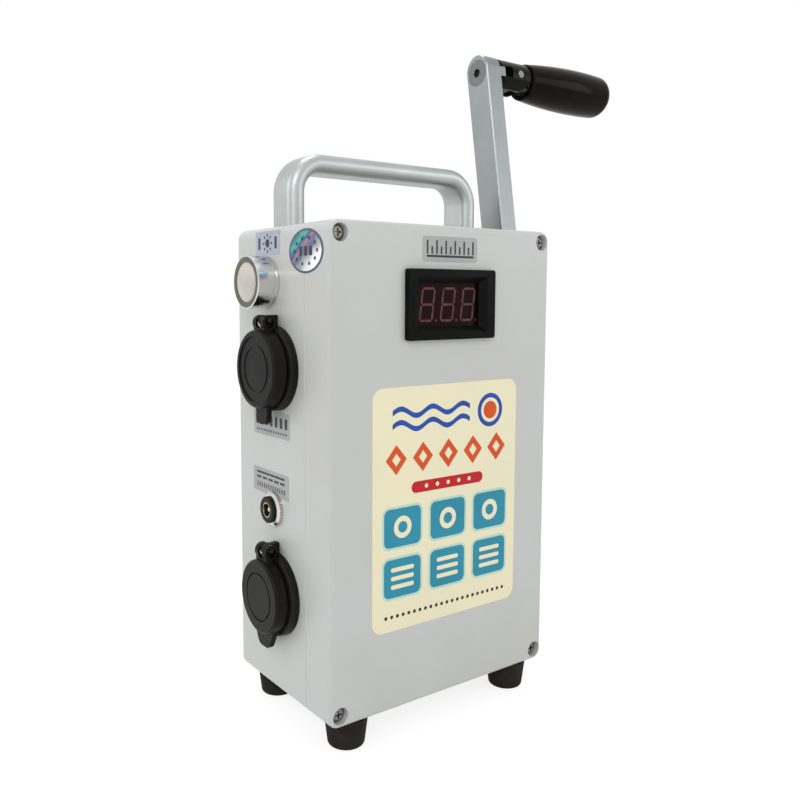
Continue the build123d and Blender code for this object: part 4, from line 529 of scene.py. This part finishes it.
# Unlit light-emitting bars: a dull pink-grey, as seen through the filter.
segment_epoxy = moulded("unlit_diffused_epoxy", "#6C4149", "#523038", roughness=0.45,
                        grain_mm=0.4, depth_mm=0.004, patch_mm=4.0, Specular_IOR_Level=0.1)
window_low, window_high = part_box("meter_window")
window_face = window_low.y / MM
meter_z = (window_low.z + window_high.z) / 2 / MM
first_digit = (DIGIT_SHIFT - DIGIT_PITCH, meter_z)
digits = row_mesh("meter_digits", digit_outlines(), SEGMENT_THICK, first_digit, DIGIT_PITCH,
                  DIGIT_COUNT, segment_epoxy)
show("meter_digits", on_front(digits, window_face), segment_epoxy, "case")

# Labels ------------------------------------------------------------------------------------
# Printed vinyl labels: a cream one with rounded corners low on the front, small silvery ones
# near the meter, the lamp, the upper socket and the jack, and an oval foil seal across the
# seam. Their patterns are plain shapes: discs, bars, lozenges and ticks.

FRONT_WALL = -37.5
LABEL_THICK = 0.12
INK_THICK = 0.02
LABEL_LEFT, LABEL_RIGHT = -40.0, 40.0
LABEL_LOW, LABEL_HIGH = 46.5, 147.0
LABEL_CORNER = 5.0


def rounded(u0, v0, u1, v1, radius, steps=8):
    """A rectangle with round corners between two corners."""
    points = []
    for u, v, quarter in ((u1, v0, -90), (u1, v1, 0), (u0, v1, 90), (u0, v0, 180)):
        cu = u - radius if u == u1 else u + radius
        cv = v - radius if v == v1 else v + radius
        for i in range(steps + 1):
            turn = radians(quarter + 90 * i / steps)
            points.append((cu + radius * cos(turn), cv + radius * sin(turn)))
    return points


def block(u, v, half_u, half_v, radius, steps=8):
    """A rectangle with round corners about its centre."""
    return rounded(u - half_u, v - half_v, u + half_u, v + half_v, radius, steps)


def evenly(pitch, count):
    """Places a pitch apart, as many to each side of zero."""
    return [pitch * (i - (count - 1) / 2) for i in range(count)]


def vinyl(name, colour, other, roughness=0.38):
    """Printed vinyl: even colour under a satin clear film."""
    return moulded(name, colour, other, roughness, grain_mm=1.2, depth_mm=0.004, patch_mm=30.0,
                   Specular_IOR_Level=0.2, Coat_Weight=0.1, Coat_Roughness=0.15)


# Screen-printed vinyl: a warm cream ground and flat opaque inks, all under one satin film.
cream_vinyl = vinyl("cream_printed_vinyl", "#EFE8C5", "#EBE5C6")
teal_ink = vinyl("teal_screen_ink", "#2A8FA8", "#2689A2")
mint_ink = vinyl("pale_mint_screen_ink", "#BFDCCB", "#B8D8C8")
red_ink = vinyl("red_screen_ink", "#C4161C", "#BC1419")
orange_ink = vinyl("orange_screen_ink", "#D9541E", "#D14E1A")
blue_ink = vinyl("blue_screen_ink", "#1F4EA8", "#1B489E")
dark_ink = vinyl("dark_grey_screen_ink", "#2C2C2C", "#343434")


def stick(name, mesh, material):
    """Puts a finished label or print on the case."""
    show(name, mesh, material, "case")


def on_label(name, outlines, layer, material):
    """Ink on the front label, one print layer above the last."""
    mesh = prism_mesh(name, outlines, INK_THICK)
    stick(name, on_front(mesh, FRONT_WALL - LABEL_THICK - layer * INK_THICK), material)


def row_on_label(name, outline, start, pitch, count):
    """A row of like dark marks on a front label."""
    mesh = row_mesh(name, [outline], INK_THICK, start, pitch, count, dark_ink)
    stick(name, on_front(mesh, FRONT_WALL - LABEL_THICK), dark_ink)


outline = rounded(LABEL_LEFT, LABEL_LOW, LABEL_RIGHT, LABEL_HIGH, LABEL_CORNER)
stick("front_label", on_front(prism_mesh("front_label", [outline], LABEL_THICK), FRONT_WALL),
      cream_vinyl)

# The front label's print, from the top down: waves and a disc, lozenges, and a red bar.
WAVE_LEFT, WAVE_RIGHT = -30, 12
WAVE_LINES = (131.0, 136.5)
WAVE_RISE = 1.6
WAVE_WIDTH = 2.2
WAVE_TURNS = 2.5
WAVE_STEPS = 36
SUN_CENTRE = (24, 134)
SUN_RING_R = 7.4
SUN_GAP_R = 5.4
SUN_R = 3.9
LOZENGE_LINE = 117.5
LOZENGE_PITCH = 14
LOZENGE_COUNT = 5
LOZENGE_HALF = (5.4, 6.2)
LOZENGE_HEART_HALF = (2.2, 2.6)
RED_BAR_LINE = 105
RED_BAR_HALF = (20, 2.4)
RED_BAR_DOT_R = 0.9
RED_BAR_DOT_PITCH = 6
RED_BAR_DOTS = 5


def wave_band(v):
    """A band that rises and falls evenly along its line."""
    top = []
    bottom = []
    for i in range(WAVE_STEPS + 1):
        share = i / WAVE_STEPS
        u = WAVE_LEFT + (WAVE_RIGHT - WAVE_LEFT) * share
        middle = v + WAVE_RISE * sin(2 * pi * WAVE_TURNS * share)
        top.append((u, middle + WAVE_WIDTH / 2))
        bottom.append((u, middle - WAVE_WIDTH / 2))
    return bottom + top[::-1]


def lozenge(u, v, half_u, half_v):
    """A diamond outline."""
    return [(u, v - half_v), (u + half_u, v), (u, v + half_v), (u - half_u, v)]


def lozenge_row(half):
    """The row of lozenges, each of the half size given."""
    return [lozenge(u, LOZENGE_LINE, *half) for u in evenly(LOZENGE_PITCH, LOZENGE_COUNT)]


on_label("label_waves", [wave_band(v) for v in WAVE_LINES], 0, blue_ink)
on_label("label_sun_ring", [disc(*SUN_CENTRE, SUN_RING_R)], 0, blue_ink)
on_label("label_sun_gap", [disc(*SUN_CENTRE, SUN_GAP_R)], 1, cream_vinyl)
on_label("label_sun", [disc(*SUN_CENTRE, SUN_R)], 2, orange_ink)
on_label("label_lozenges", lozenge_row(LOZENGE_HALF), 0, orange_ink)
on_label("label_lozenge_hearts", lozenge_row(LOZENGE_HEART_HALF), 1, cream_vinyl)
on_label("label_red_bar", [block(0, RED_BAR_LINE, *RED_BAR_HALF, radius=2.4)], 0, red_ink)
dots = [disc(u, RED_BAR_LINE, RED_BAR_DOT_R, steps=20)
        for u in evenly(RED_BAR_DOT_PITCH, RED_BAR_DOTS)]
on_label("label_red_bar_dots", dots, 1, cream_vinyl)

# Below them, teal tiles with pale edges: discs on the upper row, bars on the lower, and a line
# of dots at the foot.
TILE_COLUMNS = evenly(24.5, 3)
TILE_LINES = (89.5, 68.5)
TILE_EDGE_HALF = (10.6, 9)
TILE_EDGE_CORNER = 3.4
TILE_HALF = (9.6, 8)
TILE_CORNER = 2.6
TILE_DISC_R = 4.6
TILE_HEART_R = 2.4
TILE_BAR_HALF = (6, 0.9)
TILE_BAR_CORNER = 0.8
TILE_BAR_PITCH = 3.6
FOOT_DOT_R = 0.8

tiles = [(u, v) for u in TILE_COLUMNS for v in TILE_LINES]
edges = [block(u, v, *TILE_EDGE_HALF, TILE_EDGE_CORNER) for u, v in tiles]
on_label("label_tile_edges", edges, 0, mint_ink)
on_label("label_tiles", [block(u, v, *TILE_HALF, TILE_CORNER) for u, v in tiles], 1, teal_ink)
upper_line, lower_line = TILE_LINES
marks = [disc(u, upper_line, TILE_DISC_R) for u in TILE_COLUMNS]
marks += [block(u, lower_line + s, *TILE_BAR_HALF, TILE_BAR_CORNER)
          for u in TILE_COLUMNS for s in evenly(TILE_BAR_PITCH, 3)]
on_label("label_tile_marks", marks, 2, cream_vinyl)
hearts = [disc(u, upper_line, TILE_HEART_R) for u in TILE_COLUMNS]
on_label("label_tile_hearts", hearts, 3, teal_ink)
row_on_label("label_foot_dots", disc(0, 0, FOOT_DOT_R, steps=16), start=(-33, 52.5), pitch=3.0,
             count=23)

# Silvery polyester: a smoother, cooler film than vinyl. The meter's label has a plain scale of
# long and short ticks on a base line.
METER_LABEL = (-15, 197.5, 15, 207.8)
METER_LABEL_CORNER = 1.4
SCALE_BASE = (-12.95, 199.3, 12.95, 200.2)
TICK_FOOT = 200.6
TICK_HALF = 0.45
TICK_PITCH = 5
LONG_TICK = 5.6
SHORT_TICK = 3.2
FINE_CORNER = 0.3

silver_film = vinyl("silver_grey_polyester", "#A2A4A5", "#ACAEAE", 0.3)
small = prism_mesh("meter_label", [rounded(*METER_LABEL, METER_LABEL_CORNER)], LABEL_THICK)
stick("meter_label", on_front(small, FRONT_WALL), silver_film)
on_label("meter_label_base", [rounded(*SCALE_BASE, FINE_CORNER, steps=4)], 0, dark_ink)
row_on_label("meter_label_long_ticks",
             rounded(-TICK_HALF, 0, TICK_HALF, LONG_TICK, FINE_CORNER, steps=4),
             start=(-12.5, TICK_FOOT), pitch=TICK_PITCH, count=6)
row_on_label("meter_label_short_ticks",
             rounded(-TICK_HALF, 0, TICK_HALF, SHORT_TICK, FINE_CORNER, steps=4),
             start=(-10, TICK_FOOT), pitch=TICK_PITCH, count=5)

LEFT_LABEL_CORNER = 0.7


def left_label(name, film, y0, z0, y1, z1):
    """A small label on the left wall."""
    mesh = prism_mesh(name, [rounded(y0, z0, y1, z1, LEFT_LABEL_CORNER)], LABEL_THICK)
    stick(name, on_left(mesh, LEFT_WALL), film)


def left_print(name, outlines, lift=LABEL_THICK):
    """Dark ink on the left wall, lifted by what lies under it."""
    stick(name, on_left(prism_mesh(name, outlines, INK_THICK), LEFT_WALL - lift), dark_ink)


def left_row(name, outline, start, pitch, count):
    """A row of like marks on a label of the left wall."""
    mesh = row_mesh(name, [outline], INK_THICK, start, pitch, count, dark_ink)
    stick(name, on_left(mesh, LEFT_WALL - LABEL_THICK), dark_ink)


def ray_outline(u, v, turn, near, far, width):
    """A short bar that points away from a centre."""
    out = Vector((cos(turn), sin(turn)))
    side = Vector((-out.y, out.x)) * width / 2
    ends = (out * near - side, out * far - side, out * far + side, out * near + side)
    return [(u + p.x, v + p.y) for p in ends]


# The lamp's label: a plain sun between bars, on film with a blue cast.
LAMP_SUN = (9.5, 205.5)
LAMP_SUN_R = 1.8
LAMP_SUN_RAYS = 8
LAMP_BARS = (2.6, 16.4)
LAMP_BAR_HALF = (0.9, 2.5)

blue_film = vinyl("silver_blue_polyester", "#A3ACBF", "#ADB5C6", 0.3)
left_label("lamp_label", blue_film, y0=-0.5, z0=200.5, y1=19.5, z1=210.5)
sun = [disc(*LAMP_SUN, LAMP_SUN_R, steps=20)]
sun += [ray_outline(*LAMP_SUN, 2 * pi * i / LAMP_SUN_RAYS, near=2.6, far=4.0, width=0.8)
        for i in range(LAMP_SUN_RAYS)]
sun += [block(u, LAMP_SUN[1], *LAMP_BAR_HALF, radius=0.4, steps=4) for u in LAMP_BARS]
left_print("lamp_label_sun", sun)

# The upper socket's label: bold upright blocks over a row of dots.
left_label("usb_label", silver_film, y0=-7.5, z0=124.0, y1=22.5, z1=134.8)
left_row("usb_label_blocks", block(0, 0, 1.1, 2.2, radius=0.5, steps=4),
         start=(-4.8, 130.5), pitch=4.1, count=7)
left_row("usb_label_dots", disc(0, 0, radius=0.55, steps=12),
         start=(-4.8, 126.1), pitch=2.05, count=13)

# The jack's label: direct current's solid and broken bars over a fine row of ticks.
OUTPUT_BAR = (-3.5, 106.6, 20.5, 107.5)

left_label("output_label", silver_film, y0=-6.5, z0=98.5, y1=23.5, z1=109.0)
left_print("output_label_bar", [rounded(*OUTPUT_BAR, FINE_CORNER, steps=4)])
left_row("output_label_dashes", block(0, 0, 1.9, 0.5, FINE_CORNER, steps=4),
         start=(-1.5, 104.9), pitch=5, count=5)
left_row("output_label_ticks", block(0, 0, 0.4, 1.1, radius=0.25, steps=4),
         start=(-3.1, 101.6), pitch=1.9, count=13)

# Oval seal of embossed foil: slate blue, with a rainbow sheen at its upper back edge under fine
# concentric lines. The lines are drawn coarser than the real ones, which are too fine to see.
SEAL_CENTRE = (-20.8, 201.0)
SEAL_HALF = (12.6, 8.7)
SEAL_FIELD_SHARE = 0.9
SEAL_LINES = 9.0
SEAL_LINE_WOBBLE = 0.6
SEAL_LINE_TONES = (0.72, 1.1)
SEAL_SPOT_RING = (8.2, 5.2)
SEAL_SPOT_R = 0.75
SEAL_SPOTS = 10
SEAL_BAR_HALF = (1.1, 1.9)
SEAL_BAR_PITCH = 3.6
FOIL_BLOTCH_MM = 5.0
FOIL_BLOTCH_SHIFT = 0.2
# The rainbow runs down the sum of the seal's two unit coordinates, between these values.
FOIL_FROM, FOIL_TO = 1.2, -0.9
FOIL_COLOURS = ((0.0, "#2A8C92"), (0.14, "#58B8A4"), (0.26, "#2A56A6"), (0.37, "#B88873"),
                (0.47, "#7A74A2"), (0.6, "#61738A"), (1.0, "#6C7D92"))

foil, tree, shader, place = begin_material("embossed_rainbow_foil")
middle = [LEFT_WALL * MM, SEAL_CENTRE[0] * MM, SEAL_CENTRE[1] * MM]
reach = [MM, SEAL_HALF[0] * MM, SEAL_HALF[1] * MM]
unit = add(tree, "ShaderNodeMapping", {"Vector": place, "Location": middle, "Scale": reach},
           vector_type="TEXTURE").outputs[0]
ways = add(tree, "ShaderNodeSeparateXYZ", {0: unit})
slant = add(tree, "ShaderNodeMath", {0: ways.outputs["Y"], 1: ways.outputs["Z"]}, operation="ADD")
across = add(tree, "ShaderNodeMapRange",
             {"Value": slant.outputs[0], "From Min": FOIL_FROM, "From Max": FOIL_TO})
blotch = add(tree, "ShaderNodeTexNoise",
             {"Vector": place, "Scale": 1 / (FOIL_BLOTCH_MM * MM), "Detail": 1.0})
shift = add(tree, "ShaderNodeMapRange",
            {"Value": blotch.outputs["Fac"], "To Min": -FOIL_BLOTCH_SHIFT,
             "To Max": FOIL_BLOTCH_SHIFT})
share = add(tree, "ShaderNodeMath", {0: across.outputs[0], 1: shift.outputs[0]}, operation="ADD")
rainbow = add(tree, "ShaderNodeValToRGB", {"Fac": share.outputs[0]})
ramp = rainbow.color_ramp
for i, (spot, colour) in enumerate(FOIL_COLOURS):
    stop = ramp.elements[0] if i == 0 else ramp.elements.new(spot)
    stop.position = spot
    stop.color = linear(colour)
ramp.elements.remove(ramp.elements[-1])
rings = add(tree, "ShaderNodeTexWave",
            {"Vector": unit, "Scale": SEAL_LINES, "Distortion": SEAL_LINE_WOBBLE},
            wave_type="RINGS", rings_direction="X")
dim = add(tree, "ShaderNodeMapRange",
          {"Value": rings.outputs["Fac"], "To Min": SEAL_LINE_TONES[0],
           "To Max": SEAL_LINE_TONES[1]})
lined = add(tree, "ShaderNodeVectorMath", {0: rainbow.outputs["Color"], 3: dim.outputs[0]},
            operation="SCALE")
tree.links.new(lined.outputs[0], shader.inputs["Base Color"])
shader.inputs["Metallic"].default_value = 0.6
shader.inputs["Roughness"].default_value = 0.32


def oval(share, steps=48):
    """An oval outline, as a share of the seal's size."""
    turns = [2 * pi * i / steps for i in range(steps)]
    u, v = SEAL_CENTRE
    return [(u + SEAL_HALF[0] * share * cos(a), v + SEAL_HALF[1] * share * sin(a)) for a in turns]


# Slate ink: the seal's plain rim round the foil.
rim_ink = vinyl("slate_screen_ink", "#4A5668", "#525F72")
SEAL_LAYERS = (("seal_base", 1.0, 0.0, LABEL_THICK, rim_ink),
               ("seal_field", SEAL_FIELD_SHARE, LABEL_THICK, INK_THICK, foil))
for name, share, lift, thick, material in SEAL_LAYERS:
    mesh = prism_mesh(name, [oval(share)], thick)
    stick(name, on_left(mesh, LEFT_WALL - lift), material)
seal_u, seal_v = SEAL_CENTRE
turns = [2 * pi * i / SEAL_SPOTS for i in range(SEAL_SPOTS)]
spots = [disc(seal_u + SEAL_SPOT_RING[0] * cos(a), seal_v + SEAL_SPOT_RING[1] * sin(a),
              SEAL_SPOT_R, steps=12) for a in turns]
spots += [block(seal_u + s, seal_v, *SEAL_BAR_HALF, radius=0.6, steps=4)
          for s in evenly(SEAL_BAR_PITCH, 3)]
left_print("seal_spots", spots, lift=LABEL_THICK + INK_THICK)

# Crank -------------------------------------------------------------------------------------
# A bar of aluminium with round ends, milled and brushed along its length. It sits on the
# square end of a ground steel shaft under a washer and screw.

ARM_LEAN = -8.8

# Brushed aluminium: soft grey, with fine lines along the bar.
arm_aluminium = worked_metal("brushed_aluminium_bar", "#8A8E8F", roughness=0.36, line_mm=0.3,
                             stretch=(1, 1, 60), depth_mm=0.015, turn=(radians(ARM_LEAN), 0, 0))
dress(arm_aluminium, "crank_arm")

# Ground steel: mid grey, with fine rings across the shaft's axis.
ground_steel = worked_metal("ground_steel", "#A2A4A6",
                            roughness=0.26, line_mm=0.3, stretch=(1, 40, 40), depth_mm=0.008)
dress(ground_steel, "crank_shaft")
dress(zinc_steel, "crank_washer", "crank_screw")
dress(socket_nylon, "shaft_collar")

# Fold-away grip ----------------------------------------------------------------------------
# A black glass-filled nylon fork, held by a dark oiled steel screw and pinned to a spindle. The
# sleeve on it is black phenolic, tumbled and buffed, so it shows sharp reflections.

# Oiled steel: a darker, softer shine than plated screws.
dark_steel = worked_metal("oiled_dark_steel", "#6E706F",
                          roughness=0.3, line_mm=0.3, stretch=(1, 1, 1), depth_mm=0.006)
dress(dark_steel, "grip_screw")

# Glass-filled nylon: deep black with a low gloss and a slight mottle.
fork_nylon = moulded("black_glass_filled_nylon", "#0B0A09", "#12110F", roughness=0.2,
                     grain_mm=0.6, depth_mm=0.008, patch_mm=5.0, Specular_IOR_Level=0.07)
dress(fork_nylon, "grip_fork")

# Buffed phenolic: a warm black with a mirror gloss over barely visible waves.
grip_phenolic = moulded("polished_black_phenolic", "#0E0806", "#180F0B", roughness=0.08,
                        grain_mm=2.5, depth_mm=0.002, patch_mm=10.0, Specular_IOR_Level=0.05)
dress(grip_phenolic, "grip_sleeve")
dress(ground_steel, "grip_spindle")
dress(zinc_steel, "fold_pin", "grip_clip")

# Gear train --------------------------------------------------------------------------------
# A large nylon gear with a dished web and a smaller plain one, with a steel and a brass
# pinion, between two aluminium plates with bronze bushes.

# Natural nylon: creamy and slightly see-through, with a satin skin.
gear_nylon = moulded("natural_nylon", "#DCD6C4", "#D3CCB8", roughness=0.4, grain_mm=0.5,
                     depth_mm=0.01, patch_mm=8.0, Subsurface_Weight=0.2, Subsurface_Scale=0.002)
dress(gear_nylon, "drive_gear", "intermediate_gear")
dress(ground_steel, "drive_gear_pin", "intermediate_pinion", "intermediate_shaft")

# Hobbed brass: bright yellow, with fine cutter rings.
pinion_brass = worked_metal("hobbed_brass", "#C7A254",
                            roughness=0.28, line_mm=0.3, stretch=(1, 30, 30), depth_mm=0.008)
dress(pinion_brass, "generator_pinion")

# Sintered bronze: brown and half matt, with a fine porous grain.
bush_bronze = worked_metal("sintered_bronze", "#A87C46",
                           roughness=0.42, line_mm=0.2, stretch=(1, 1, 1), depth_mm=0.01)
dress(bush_bronze, "gearbox_bushes")

# Rolled aluminium: pale grey, with the mill's lines running up the plate.
plate_aluminium = worked_metal("rolled_aluminium_plate", "#AEB1B2",
                               roughness=0.34, line_mm=0.4, stretch=(1, 1, 40), depth_mm=0.01)
dress(plate_aluminium, "gearbox_inner_plate", "gearbox_outer_plate", "gearbox_spacers")
dress(zinc_steel, "gearbox_screws")

# Generator ---------------------------------------------------------------------------------
# A drawn steel can with two ceramic magnets, a laminated rotor under varnish and copper, and
# a moulded brush cover.

# Drawn steel with a nickel wash: grey, with die lines along the can.
can_steel = worked_metal("drawn_nickel_washed_steel", "#9FA2A3",
                         roughness=0.32, line_mm=0.35, stretch=(50, 1, 1), depth_mm=0.01)
dress(can_steel, "generator_can")
dress(bezel_abs, "generator_end_cap")
dress(ground_steel, "generator_shaft")
dress(zinc_steel, "generator_screws")

# Sintered ferrite: charcoal, matt and slightly gritty.
magnet_ceramic = moulded("sintered_ferrite", "#3A3B3D", "#444547",
                         roughness=0.6, grain_mm=0.4, depth_mm=0.02, patch_mm=6.0)
dress(magnet_ceramic, "generator_magnets")

# Varnished copper and iron: red-brown, with ridges along the rotor.
rotor_copper = worked_metal("varnished_copper_and_iron", "#8A5A3C",
                            roughness=0.35, line_mm=0.6, stretch=(50, 1, 1), depth_mm=0.05)
dress(rotor_copper, "generator_rotor")

# Regulator board ---------------------------------------------------------------------------
# Sleeved capacitors, a ferrite choke and a folded heat sink, all in black, on a green board
# that four screws hold on standoffs in the rear case.

# Black sleeving, ferrite and anodising: one dull near-black with a faint unevenness.
component_sleeve = moulded("black_sleeved_components", "#1E1F22", "#292A2E",
                           roughness=0.4, grain_mm=0.6, depth_mm=0.01, patch_mm=5.0)
dress(component_sleeve, "regulator_parts")
dress(board_green, "regulator_board")
dress(zinc_steel, "board_screws")
